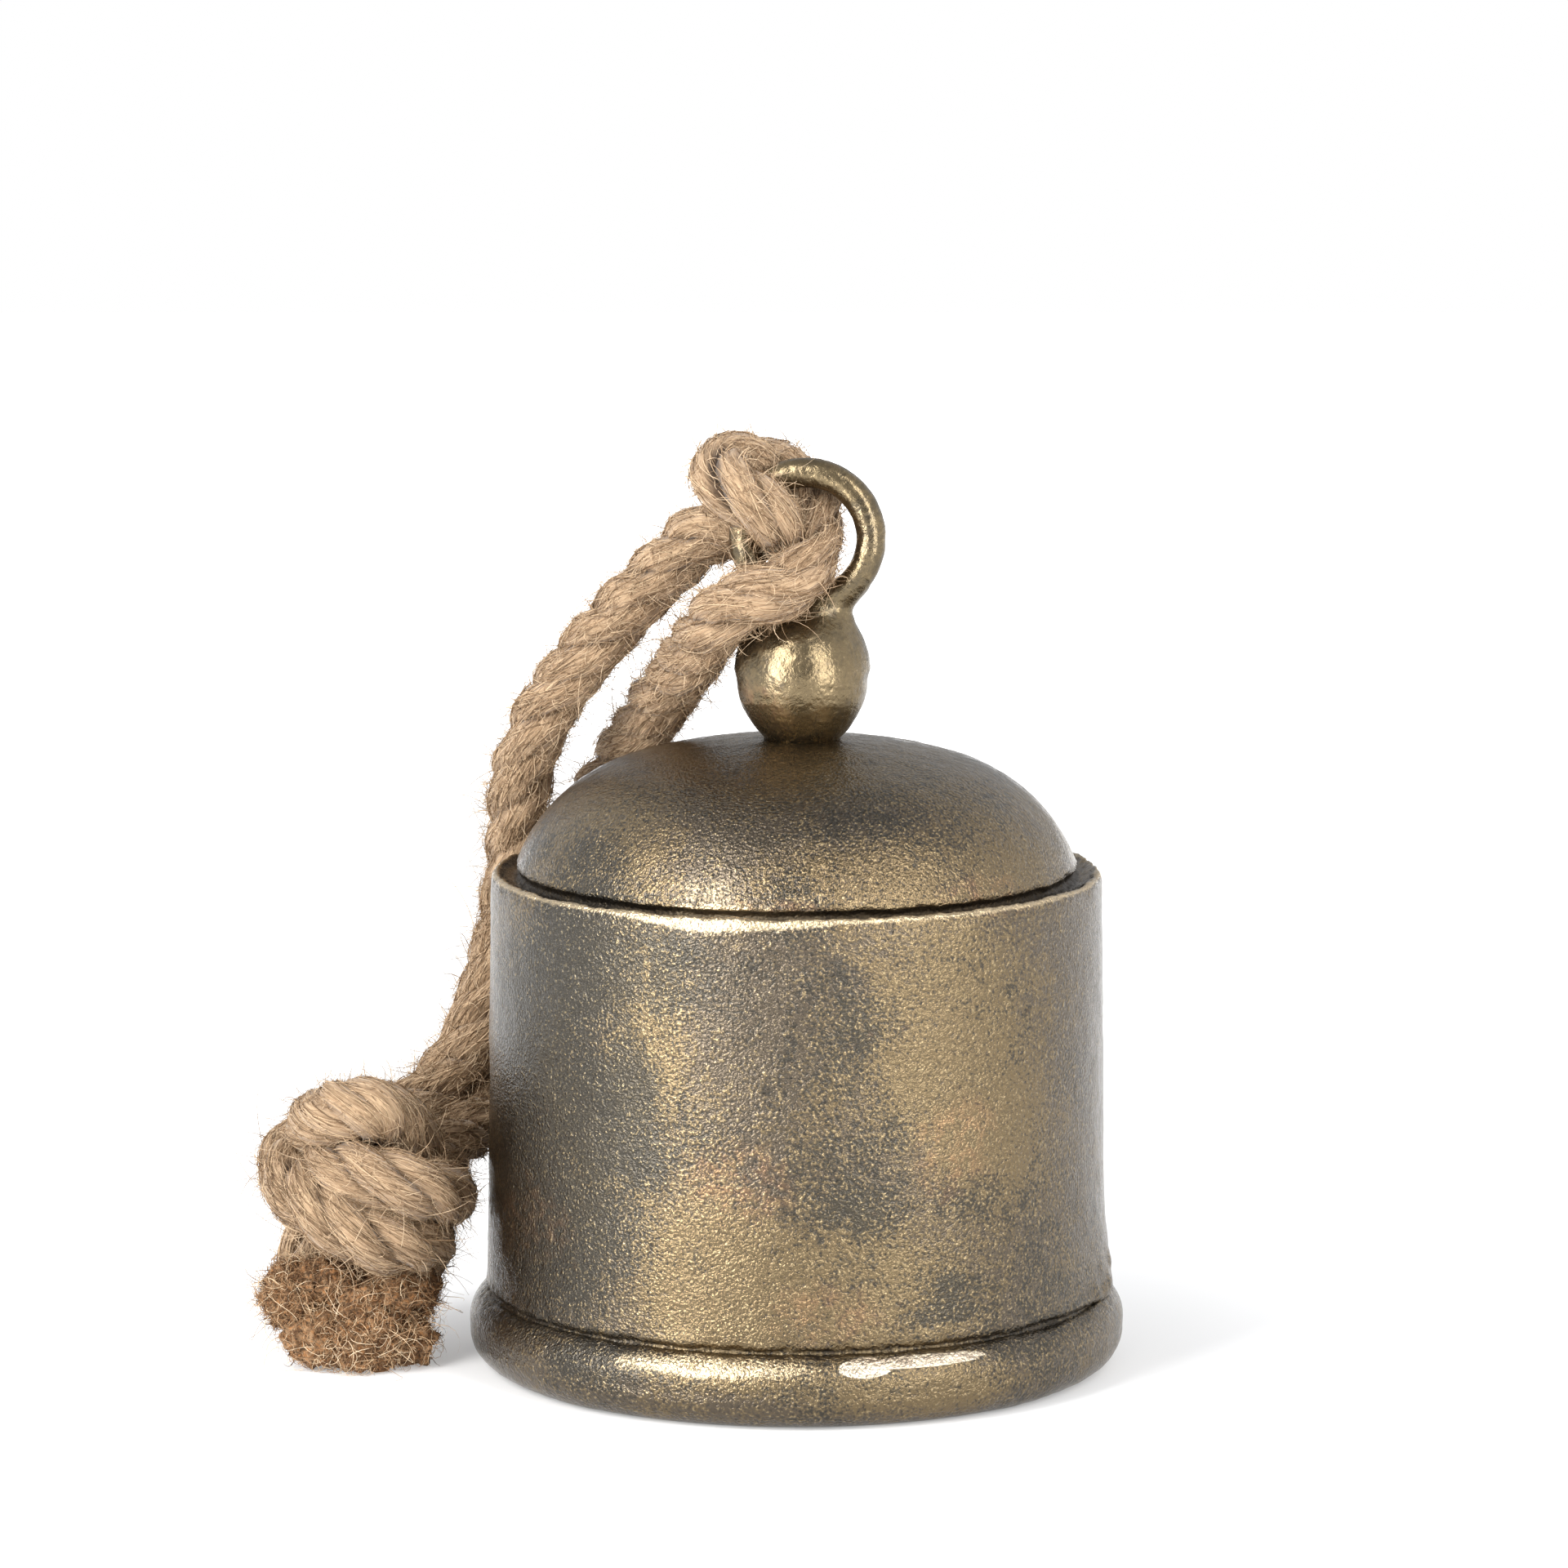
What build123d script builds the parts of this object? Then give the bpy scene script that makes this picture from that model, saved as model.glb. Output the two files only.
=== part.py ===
"""Ship bell: a cast bell with a crown ring, a hanging clapper and a knotted rope.

Row frame in millimetres: origin at the centre of the rim's bottom plane, +Z up.
The rope hangs on the -X side and its knot stands beside the bell on the same plane.
"""
import math
import os

from build123d import *

os.makedirs("parts", exist_ok=True)

# ---------------------------------------------------------------- bell shell
rim_radius = 75.0            # widest point of the rim bead
rim_widest_z = 8.5
rim_foot_radius = 68.5       # outer edge of the flat face that the bell stands on
groove_radius = 71.2         # where the bead meets the wall
groove_z = 17.2
lip_radius = 69.75           # top of the wall, about one degree of draft
lip_z = 114.1
lip_round = 0.6
mouth_radius = 65.8
mouth_round = 1.0
ceiling_radius = 64.9        # inside of the wall, under the ledge
wall = 4.8                   # thickness of the dome
dome_base_z = 113.2
dome_top_z = 144.33
cap_radius = 144.0           # large arc over the dome's top
shoulder_radius = 37.86      # smaller arc down to the ledge
shoulder_r = 28.27           # the shoulder arc's centre, from the bell's axis
crown_seat_z = 144.0         # flat under the crown's foot
boss_radius = 11.0           # cast pad inside, under the dome's top
boss_z = 137.6

# ---------------------------------------------------------------- crown casting
ball_x = 1.3
ball_z = 158.9
ball_radius = 15.1
foot_radius = 8.4
foot_bulge_radius = 9.5
foot_bulge_z = 146.2
ring_x = 2.4
ring_z = 190.1
ring_radius = 14.6           # centreline of the ring's bar
bar_radius = 3.45
ring_turn = -10.0            # degrees about Z
neck_sections = [(164.0, 13.2, 8.0), (170.3, 11.3, 6.0), (176.5, 12.4, 3.2)]  # z, half sizes

# ---------------------------------------------------------------- fixings
thread_radius = 4.0
thread_gap = 0.05            # radial clearance round the stud
stud_low_z = 122.6
stud_high_z = 155.0
washer_radius = 10.0
washer_thickness = 1.6
nut_across_flats = 13.0
nut_height = 6.5
nut_chamfer = 0.6
collar_radius = 6.5
collar_height = 8.0
eye_radius = 6.0             # hanger eye, centreline of its wire
eye_wire = 2.0
eye_z = 116.0

# ---------------------------------------------------------------- clapper
chain_gap = 0.3              # running clearance between hanging wires
link_wire = 1.6
link_end_radius = eye_wire + link_wire + chain_gap
link_straight = 7.0
stem_eye_radius = 5.0
stem_wire = 2.0
stem_radius = 2.5
stem_low_z = 5.4
clapper_radius = 15.0
clapper_z = 25.0
clapper_flat_z = 10.8        # spot face under the ball
clapper_nut_flats = 8.0
clapper_nut_height = 4.0

link_pivot_z = eye_z - eye_radius
link_low_end_z = link_pivot_z - link_straight
clapper_pivot_z = link_low_end_z - link_end_radius
stem_eye_z = link_low_end_z - stem_eye_radius

# ---------------------------------------------------------------- rope
rope_radius = 7.0
hitch_radius = 4.0           # the rope's core, squeezed where it turns through the ring
knot_x = -98.6
knot_z = 43.5
knot_radius = 23.8
knot_half_height = 21.5
knot_round = 18.0
tuft_half_width = 10.0
tuft_half_depth = 15.0
tuft_height = 24.0
tuft_round = 4.0
tuft_middle_x = -104.7
tuft_offset = 10.15          # of each cut end from the middle, with a small gap between
tuft_y = -2.0

# The rope's route: up from the knot, round the ring, and down to the knot again.
LEG_A = [
    (-92.5, 18, 52), (-85, 29, 58), (-77, 37.5, 67.5), (-71.5, 43.5, 80), (-67.5, 46, 94.5),
    (-66, 45.5, 110.5), (-65.5, 40.5, 125), (-60.5, 33, 143), (-50.5, 27, 158),
    (-39, 21, 171.5), (-27, 16, 184),
]
HITCH = [
    (-18.5, 13.8, 191.6), (-2.3, 10.6, 190.1), (-3.7, -8.7, 194.6), (-18.5, -5.5, 204),
    (-14.5, 11, 207.5), (5.8, 10.4, 199.6), (3.9, -9.9, 181.4), (-15.4, -9, 176),
]
LEG_B = [
    (-21.5, 3, 166), (-27, 21, 156), (-34.5, 42, 142.5), (-44.5, 58.5, 125),
    (-53, 64, 105.5), (-58, 61.5, 85.5), (-64, 53, 67.5), (-71, 39, 52.5),
    (-78, 21, 45), (-85.5, 5.5, 42.5),
]


def on_arc(centre, radius, lean):
    """The point of an arc at that angle from straight up."""
    return (centre[0] + radius * math.sin(lean), centre[1] + radius * math.cos(lean))


def middle(first, second):
    """The point half way from first to second."""
    return tuple((a + b) / 2 for a, b in zip(first, second))


def corner_radii(points):
    """For each corner of a route, the largest tangent arc that its two runs allow."""
    radii = []
    for before, here, after in zip(points, points[1:], points[2:]):
        turn = (Vector(here) - Vector(before)).get_angle(Vector(after) - Vector(here))
        run = min(math.dist(before, here), math.dist(here, after))
        radii.append(0.45 * run / math.tan(math.radians(turn) / 2))
    return radii


def report_tube(name, part, line, radius, points):
    """Print a tube's bends, and its volume against its section times its length."""
    length = sum(edge.length for edge in line.edges())
    ratio = part.volume / (math.pi * radius**2 * length)
    bends = [round(bend) for bend in corner_radii(points)]
    print(f"{name}: length {length:.1f} mm, volume ratio {ratio:.4f}, bends {bends}")


# The legs and the hitch meet half way along the runs that join them.
join_a = middle(LEG_A[-1], HITCH[0])
join_b = middle(HITCH[-1], LEG_B[0])
leg_a_points = LEG_A + [join_a]
hitch_points = [join_a] + HITCH + [join_b]
leg_b_points = [join_b] + LEG_B

# ---------------------------------------------------------------- bell_shell
cap_centre = (0, dome_top_z - cap_radius)
# the cap and the shoulder are tangent where the line through their centres meets them
meet = math.asin(shoulder_r / (cap_radius - shoulder_radius))
shoulder_centre = on_arc(cap_centre, cap_radius - shoulder_radius, meet)
seat_lean = math.acos((crown_seat_z - cap_centre[1]) / cap_radius)
base_lean = math.acos((dome_base_z - shoulder_centre[1]) / shoulder_radius)
inner_cap_radius = cap_radius - wall
inner_shoulder_radius = shoulder_radius - wall
boss_lean = math.asin(boss_radius / inner_cap_radius)
ceiling_lean = math.radians(78)
ceiling = on_arc(shoulder_centre, inner_shoulder_radius, ceiling_lean)

with BuildPart() as bell_shell:
    with BuildSketch(Plane.XZ):
        with BuildLine():
            Line((mouth_radius + mouth_round, 0), (rim_foot_radius, 0))
            ThreePointArc((rim_foot_radius, 0), (73.1, 2.5), (rim_radius, rim_widest_z))
            ThreePointArc((rim_radius, rim_widest_z), (74.1, 14.0), (groove_radius, groove_z))
            Polyline((groove_radius, groove_z), (lip_radius, lip_z - lip_round),
                     (lip_radius - lip_round, lip_z),
                     on_arc(shoulder_centre, shoulder_radius, base_lean))
            ThreePointArc(*(on_arc(shoulder_centre, shoulder_radius, lean)
                            for lean in (base_lean, (base_lean + meet) / 2, meet)))
            ThreePointArc(*(on_arc(cap_centre, cap_radius, lean)
                            for lean in (meet, (meet + seat_lean) / 2, seat_lean)))
            Polyline(on_arc(cap_centre, cap_radius, seat_lean),
                     (thread_radius + thread_gap, crown_seat_z),
                     (thread_radius + thread_gap, boss_z), (boss_radius, boss_z),
                     on_arc(cap_centre, inner_cap_radius, boss_lean))
            ThreePointArc(*(on_arc(cap_centre, inner_cap_radius, lean)
                            for lean in (boss_lean, (boss_lean + meet) / 2, meet)))
            ThreePointArc(*(on_arc(shoulder_centre, inner_shoulder_radius, lean)
                            for lean in (meet, (meet + ceiling_lean) / 2, ceiling_lean)))
            Polyline(ceiling, (ceiling_radius, ceiling[1] - 3.5),
                     (mouth_radius, mouth_round), (mouth_radius + mouth_round, 0))
        make_face()
    revolve(axis=Axis.Z)
bell_shell.part.label = "bell_shell"

# ---------------------------------------------------------------- crown_ring
# the ball stands a little beside the bell's axis, as cast
ball_plane = Plane(origin=(ball_x, 0, 0), x_dir=(1, 0, 0), z_dir=(0, -1, 0))
ring_facing = Vector(0, -1, 0).rotate(Axis.Z, ring_turn)
ring_plane = Plane(origin=(ring_x, 0, ring_z), x_dir=(0, 0, 1), z_dir=ring_facing)

with BuildPart() as crown_ring:
    with BuildSketch(ball_plane):
        with BuildLine():
            Polyline((0, ball_z + ball_radius), (0, crown_seat_z), (foot_radius, crown_seat_z),
                     (foot_bulge_radius, foot_bulge_z))
            ThreePointArc((foot_bulge_radius, foot_bulge_z), (13.4, 151.2), (ball_radius, ball_z))
            ThreePointArc(*(on_arc((0, ball_z), ball_radius, math.radians(lean))
                            for lean in (90, 45, 0)))
        make_face()
    revolve(axis=Axis((ball_x, 0, 0), (0, 0, 1)))
    for z, half_width, half_depth in neck_sections:
        neck_plane = Plane(origin=(ball_x, 0, z), x_dir=(1, 0, 0), z_dir=(0, 0, 1))
        with BuildSketch(neck_plane):
            Ellipse(half_width, half_depth, rotation=ring_turn)
    loft()
    with Locations(ring_plane):
        Torus(ring_radius, bar_radius)
    # tapped hole for the stud
    with BuildSketch(Plane.XY.offset(crown_seat_z)):
        Circle(thread_radius)
    extrude(amount=stud_high_z - crown_seat_z, mode=Mode.SUBTRACT)
crown_ring.part.label = "crown_ring"

# ---------------------------------------------------------------- crown_stud
with BuildPart() as crown_stud:
    with BuildSketch(Plane.XY.offset(stud_low_z)):
        Circle(thread_radius)
    extrude(amount=stud_high_z - stud_low_z)
crown_stud.part.label = "crown_stud"

# ---------------------------------------------------------------- crown_washer
with BuildPart() as crown_washer:
    with BuildSketch(Plane.XY.offset(boss_z - washer_thickness)):
        Circle(washer_radius)
        Circle(thread_radius + thread_gap, mode=Mode.SUBTRACT)
    extrude(amount=washer_thickness)
crown_washer.part.label = "crown_washer"

# ---------------------------------------------------------------- crown_nut
nut_low_z = boss_z - washer_thickness - nut_height

with BuildPart() as crown_nut:
    with BuildSketch(Plane.XY.offset(nut_low_z)):
        RegularPolygon(nut_across_flats / 2, 6, major_radius=False)
        Circle(thread_radius, mode=Mode.SUBTRACT)
    extrude(amount=nut_height)
    chamfer(crown_nut.faces().sort_by(Axis.Z)[0].outer_wire().edges(), nut_chamfer)
crown_nut.part.label = "crown_nut"

# ---------------------------------------------------------------- hanger_eye
with BuildPart() as hanger_eye:
    with BuildSketch(Plane.XY.offset(nut_low_z - collar_height)):
        Circle(collar_radius)
    extrude(amount=collar_height)
    with Locations(Plane(origin=(0, 0, eye_z), x_dir=(1, 0, 0), z_dir=(0, -1, 0))):
        Torus(eye_radius, eye_wire)
    # blind tapped bore for the stud
    with BuildSketch(Plane.XY.offset(nut_low_z)):
        Circle(thread_radius)
    extrude(amount=stud_low_z - nut_low_z, mode=Mode.SUBTRACT)
hanger_eye.part.label = "hanger_eye"

# ---------------------------------------------------------------- clapper_link
with BuildPart() as clapper_link:
    with BuildLine() as link_line:
        with BuildLine(Plane.YZ):
            Line((-link_end_radius, link_low_end_z), (-link_end_radius, link_pivot_z))
            ThreePointArc((-link_end_radius, link_pivot_z), (0, link_pivot_z + link_end_radius),
                          (link_end_radius, link_pivot_z))
            Line((link_end_radius, link_pivot_z), (link_end_radius, link_low_end_z))
            ThreePointArc((link_end_radius, link_low_end_z), (0, clapper_pivot_z),
                          (-link_end_radius, link_low_end_z))
    with BuildSketch(Plane(origin=(0, -link_end_radius, link_low_end_z), z_dir=(0, 0, 1))):
        Circle(link_wire)
    sweep(path=link_line.wires()[0])
clapper_link.part.label = "clapper_link"

# ---------------------------------------------------------------- clapper_stem
with BuildPart() as clapper_stem:
    with Locations(Plane(origin=(0, 0, stem_eye_z), x_dir=(1, 0, 0), z_dir=(0, -1, 0))):
        Torus(stem_eye_radius, stem_wire)
    with BuildSketch(Plane.XY.offset(stem_low_z)):
        Circle(stem_radius)
    extrude(amount=stem_eye_z - stem_eye_radius - stem_low_z)
clapper_stem.part.label = "clapper_stem"

# ---------------------------------------------------------------- clapper_ball
with BuildPart() as clapper_ball:
    with Locations((0, 0, clapper_z)):
        Sphere(clapper_radius)
    # spot face for the nut
    with BuildSketch(Plane.XY.offset(clapper_flat_z)):
        Circle(clapper_radius)
    extrude(amount=-clapper_radius, mode=Mode.SUBTRACT)
    with BuildSketch(Plane.XY.offset(clapper_flat_z)):
        Circle(stem_radius)
    extrude(amount=2 * clapper_radius, mode=Mode.SUBTRACT)
clapper_ball.part.label = "clapper_ball"

# ---------------------------------------------------------------- clapper_ball_nut
with BuildPart() as clapper_ball_nut:
    with BuildSketch(Plane.XY.offset(clapper_flat_z)):
        RegularPolygon(clapper_nut_flats / 2, 6, major_radius=False)
        Circle(stem_radius, mode=Mode.SUBTRACT)
    extrude(amount=-clapper_nut_height)
    chamfer(clapper_ball_nut.faces().sort_by(Axis.Z)[0].outer_wire().edges(), nut_chamfer / 2)
clapper_ball_nut.part.label = "clapper_ball_nut"

# ---------------------------------------------------------------- rope_leg_a
with BuildPart() as rope_leg_a:
    with BuildLine() as leg_a_line:
        FilletPolyline(*leg_a_points, radius=corner_radii(leg_a_points))
    with BuildSketch(Plane(origin=leg_a_line.line @ 0, z_dir=leg_a_line.line % 0)):
        Circle(rope_radius)
    sweep()
rope_leg_a.part.label = "rope_leg_a"
report_tube("rope_leg_a", rope_leg_a.part, leg_a_line.line, rope_radius, leg_a_points)

# ---------------------------------------------------------------- rope_hitch
with BuildPart() as rope_hitch:
    with BuildLine() as hitch_line:
        FilletPolyline(*hitch_points, radius=corner_radii(hitch_points))
    with BuildSketch(Plane(origin=hitch_line.line @ 0, z_dir=hitch_line.line % 0)):
        Circle(hitch_radius)
    sweep()
rope_hitch.part.label = "rope_hitch"
report_tube("rope_hitch", rope_hitch.part, hitch_line.line, hitch_radius, hitch_points)

# ---------------------------------------------------------------- rope_leg_b
with BuildPart() as rope_leg_b:
    with BuildLine() as leg_b_line:
        FilletPolyline(*leg_b_points, radius=corner_radii(leg_b_points))
    with BuildSketch(Plane(origin=leg_b_line.line @ 0, z_dir=leg_b_line.line % 0)):
        Circle(rope_radius)
    sweep()
rope_leg_b.part.label = "rope_leg_b"
report_tube("rope_leg_b", rope_leg_b.part, leg_b_line.line, rope_radius, leg_b_points)

# ---------------------------------------------------------------- rope_knot
knot_plane = Plane(origin=(knot_x, 0, knot_z), x_dir=(1, 0, 0), z_dir=(0, -1, 0))

with BuildPart() as rope_knot:
    with BuildSketch(knot_plane) as knot_outline:
        Rectangle(knot_radius, 2 * knot_half_height, align=(Align.MIN, Align.CENTER))
        fillet(knot_outline.vertices().sort_by(Axis.X)[-2:], knot_round)
    revolve(axis=Axis((knot_x, 0, 0), (0, 0, 1)))
rope_knot.part.label = "rope_knot"

# ---------------------------------------------------------------- rope_end_a
with BuildPart() as rope_end_a:
    with BuildSketch(Plane(origin=(tuft_middle_x - tuft_offset, tuft_y, 0), z_dir=(0, 0, 1))):
        RectangleRounded(2 * tuft_half_width, 2 * tuft_half_depth, tuft_round)
    extrude(amount=tuft_height)
    fillet(rope_end_a.faces().sort_by(Axis.Z)[-1].edges(), tuft_round / 2)
rope_end_a.part.label = "rope_end_a"

# ---------------------------------------------------------------- rope_end_b
with BuildPart() as rope_end_b:
    with BuildSketch(Plane(origin=(tuft_middle_x + tuft_offset, tuft_y, 0), z_dir=(0, 0, 1))):
        RectangleRounded(2 * tuft_half_width, 2 * tuft_half_depth, tuft_round)
    extrude(amount=tuft_height)
    fillet(rope_end_b.faces().sort_by(Axis.Z)[-1].edges(), tuft_round / 2)
rope_end_b.part.label = "rope_end_b"

# ---------------------------------------------------------------- files
export_step(bell_shell.part, "parts/bell_shell.step")
export_step(crown_ring.part, "parts/crown_ring.step")
export_step(crown_stud.part, "parts/crown_stud.step")
export_step(crown_washer.part, "parts/crown_washer.step")
export_step(crown_nut.part, "parts/crown_nut.step")
export_step(hanger_eye.part, "parts/hanger_eye.step")
export_step(clapper_link.part, "parts/clapper_link.step")
export_step(clapper_stem.part, "parts/clapper_stem.step")
export_step(clapper_ball.part, "parts/clapper_ball.step")
export_step(clapper_ball_nut.part, "parts/clapper_ball_nut.step")
export_step(rope_leg_a.part, "parts/rope_leg_a.step")
export_step(rope_hitch.part, "parts/rope_hitch.step")
export_step(rope_leg_b.part, "parts/rope_leg_b.step")
export_step(rope_knot.part, "parts/rope_knot.step")
export_step(rope_end_a.part, "parts/rope_end_a.step")
export_step(rope_end_b.part, "parts/rope_end_b.step")
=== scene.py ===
"""Looks for the ship bell: cast brass, three-strand rope, knot and frayed ends.

Everything is in metres in the CAD's frame. Sizes written in millimetres are multiplied by MM.
"""
import math

import bmesh
import bpy
import numpy as np
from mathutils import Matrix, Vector, noise


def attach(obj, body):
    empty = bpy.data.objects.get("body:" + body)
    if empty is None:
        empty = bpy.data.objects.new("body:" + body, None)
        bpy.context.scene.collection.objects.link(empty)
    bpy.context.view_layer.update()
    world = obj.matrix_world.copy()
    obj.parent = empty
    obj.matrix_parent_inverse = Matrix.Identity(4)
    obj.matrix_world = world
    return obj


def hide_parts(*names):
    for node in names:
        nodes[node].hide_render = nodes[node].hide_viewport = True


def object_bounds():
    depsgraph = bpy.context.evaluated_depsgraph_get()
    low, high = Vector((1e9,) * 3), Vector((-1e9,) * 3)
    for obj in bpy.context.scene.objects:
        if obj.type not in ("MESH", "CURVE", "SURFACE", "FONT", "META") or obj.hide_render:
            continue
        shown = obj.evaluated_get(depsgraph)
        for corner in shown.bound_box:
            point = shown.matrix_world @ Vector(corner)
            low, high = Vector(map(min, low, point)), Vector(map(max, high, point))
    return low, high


MM = 0.001
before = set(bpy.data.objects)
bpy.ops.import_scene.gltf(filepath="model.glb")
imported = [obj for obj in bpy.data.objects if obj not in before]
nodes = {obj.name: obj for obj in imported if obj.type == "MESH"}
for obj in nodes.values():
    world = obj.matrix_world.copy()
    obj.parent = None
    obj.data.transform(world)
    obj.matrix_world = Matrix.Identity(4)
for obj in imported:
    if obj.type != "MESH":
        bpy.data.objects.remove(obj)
cad_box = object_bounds()
scene = bpy.context.scene

# ---------- camera
CAMERA_PLACE = (-2.87 * MM, -1.5, 361.32 * MM)
CAMERA_DIP = math.radians(8.64)  # how far the camera looks down
LENS, SENSOR = 152.67, 36.0  # millimetres

camera_data = bpy.data.cameras.new("camera")
camera_data.lens = LENS
camera_data.sensor_width = SENSOR
camera_data.clip_start = 0.05
camera_data.clip_end = 30.0
camera = bpy.data.objects.new("camera", camera_data)
camera.location = CAMERA_PLACE
camera.rotation_euler = (math.radians(90.0) - CAMERA_DIP, 0.0, 0.0)
scene.collection.objects.link(camera)
scene.camera = camera
scene.view_settings.view_transform = "Standard"

# ---------- rope route, in millimetres
KNOT_A = [
    (-93, -7, 8), (-92, 3, 14), (-88, 8, 22), (-84.5, 0, 27.5), (-87.5, -11, 28.5), (-94, -17.5, 30),
    (-101.5, -19.5, 33.5), (-110, -15.5, 38), (-116.5, -5, 42), (-117, 7, 46), (-109, 15, 50),
    (-99, 17, 51.5),
]
LEG_A = [
    (-92.5, 18, 51), (-84, 28, 56), (-76, 36.5, 66.5), (-71.5, 43.5, 80), (-67.5, 46, 94.5),
    (-66, 45.5, 110.5), (-65.5, 40.5, 125), (-60.5, 33, 143), (-50.5, 27, 158),
    (-39, 21, 171.5), (-27, 16, 184),
]
HITCH = [
    (-18.5, 13.8, 191.6), (-2.3, 10.6, 190.1), (-3.7, -8.7, 194.6), (-18.5, -5.5, 204),
    (-14.5, 11, 207.5), (5.8, 10.4, 199.6), (3.9, -9.9, 181.4), (-15.4, -9, 176),
]
LEG_B = [
    (-21.5, 3, 166), (-27, 21, 156), (-34.5, 42, 142.5), (-44.5, 58.5, 125),
    (-53, 64, 105.5), (-58, 61.5, 85.5), (-64, 53, 67.5), (-71, 39, 52.5),
    (-79, 22, 47.5), (-86, 7.5, 43.5),
]
KNOT_B = [
    (-97, 4, 43), (-107, 7, 48), (-112, 2, 53), (-108.5, -7, 57), (-102.5, -11.5, 60.5),
    (-96, -11, 60.5), (-89.5, -2, 54), (-88, 7, 46), (-98, 3, 43), (-109, -3, 45),
    (-105, -12, 46.5), (-96, -17.5, 45.5), (-87, -17, 43), (-80.5, -8, 39.5), (-81, 6, 36),
    (-89, 15.5, 35.5), (-102, 17, 33), (-112, 9, 27), (-113, 0, 18), (-112, -8, 11),
]


def even_points(line, count):
    """As many evenly spaced points along a line as count says for its length, and how far along they are."""
    travel = np.r_[0, np.cumsum(np.linalg.norm(np.diff(line, axis=0), axis=1))]
    even = np.linspace(0, travel[-1], count(travel[-1]))
    return np.stack([np.interp(even, travel, column) for column in line.T], axis=1), even


def smooth_line(name, points, step):
    """Evenly spaced points, in metres, of the NURBS line that these points guide."""
    curve = bpy.data.curves.new(name, "CURVE")
    curve.dimensions = "3D"
    curve.resolution_u = 24
    spline = curve.splines.new("NURBS")
    spline.points.add(len(points) - 1)
    for guide, point in zip(spline.points, points):
        guide.co = (point[0] * MM, point[1] * MM, point[2] * MM, 1.0)
    spline.order_u = 3
    spline.use_endpoint_u = True
    holder = bpy.data.objects.new(name, curve)
    mesh = bpy.data.meshes.new_from_object(holder)
    line = np.array([vertex.co for vertex in mesh.vertices])
    bpy.data.meshes.remove(mesh)
    bpy.data.objects.remove(holder)
    bpy.data.curves.remove(curve)
    return even_points(line, lambda length: int(length / step) + 1)


def unit(vectors):
    return vectors / np.maximum(np.linalg.norm(vectors, axis=-1, keepdims=True), 1e-12)


def carried_frames(line):
    """Tangents and two normals carried along a line without twist."""
    tangent = unit(np.gradient(line, axis=0))
    side = np.zeros_like(line)
    side[0] = unit(np.cross(tangent[0], (0.3, 0.2, 1.0)))
    for i in range(1, len(line)):
        side[i] = side[i - 1] - tangent[i] * side[i - 1].dot(tangent[i])
        side[i] /= np.linalg.norm(side[i])
    return tangent, side, np.cross(tangent, side)


def add_object(name, vertices, faces):
    if isinstance(faces, np.ndarray):
        faces = faces.tolist()
    mesh = bpy.data.meshes.new(name)
    mesh.from_pydata(np.asarray(vertices).tolist(), [], faces)
    mesh.shade_smooth()
    piece = bpy.data.objects.new(name, mesh)
    scene.collection.objects.link(piece)
    return piece


def add_mark(piece, name, values):
    """A number on each point, which a material reads by its name."""
    piece.data.attributes.new(name, "FLOAT", "POINT").data.foreach_set("value", values)


# ---------- rope geometry
STEP = 0.8 * MM  # between samples of the rope's line
ROPE_REACH = 7.1 * MM  # from the rope's axis to the outside of a strand
LAY = 36.0 * MM  # one full turn of a strand
STRAND = 3.75 * MM  # strand radius
STRAND_OFFSET = 3.45 * MM  # strand centre from the rope's axis
FLATTEN, WIDEN = 0.97, 1.06  # a strand is a little flatter outward and wider sideways
YARNS = 7
YARN_TWIST = 215.0  # radians per metre, against the lay
YARN_PHASE = 2.1  # radians from one strand's yarns to the next one's
ROUND = 36  # points round a strand
SQUEEZE, SQUEEZE_SPAN = 0.26, 9.5 * MM  # thinner near the ring's centre
SLACK, SLACK_SPAN = 0.07, 26 * MM  # thicker where a leg enters the knot
SCREWED, SCREWED_AT, SCREWED_SPAN = 3.4, 46 * MM, 17 * MM  # extra turn in the knot's top wrap
RING_X, RING_Z = 2.4, 190.1  # the ring's centre, in millimetres
# loose fibres end at these corners: not below the floor, and at most 11 mm left of and 10 mm above the CAD's
# box; loose fibres end at these corners, so that they stay within the size the CAD allows
FUZZ_LOW = np.array((cad_box[0][0] - 11.0 * MM, -1.0, 0.3 * MM))
FUZZ_HIGH = np.array((1.0, 1.0, cad_box[1][2] + 10.0 * MM))

rope_line, rope_s = smooth_line("rope_route", KNOT_A + LEG_A + HITCH + LEG_B + KNOT_B, STEP)
rope_t, rope_n, rope_b = carried_frames(rope_line)


def nearest_sample(point, after=0):
    return after + int(np.argmin(np.linalg.norm(rope_line[after:] - np.array(point) * MM, axis=1)))


HITCH_MIDDLE = (-4, 11.5, 204)
SKIP = 150  # samples that are passed over before the next place is looked for

i_leg_a = nearest_sample(LEG_A[0])
i_split = nearest_sample(HITCH_MIDDLE, i_leg_a + SKIP)
i_leg_b = nearest_sample(LEG_B[-1], i_split + SKIP)
ring_centre = np.array((RING_X, 0.0, RING_Z)) * MM


def rope_scale():
    """How thick the rope is along its length: squeezed inside the ring, slack near the knot."""
    near = np.linalg.norm(rope_line - ring_centre, axis=1)
    tight = 1.0 - SQUEEZE * np.exp(-(near / SQUEEZE_SPAN) ** 2)
    from_knot = np.minimum(np.abs(rope_s - rope_s[i_leg_a]), np.abs(rope_s - rope_s[i_leg_b]))
    return tight * (1.0 + SLACK * np.exp(-(from_knot / SLACK_SPAN) ** 2))


scale = rope_scale()


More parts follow.
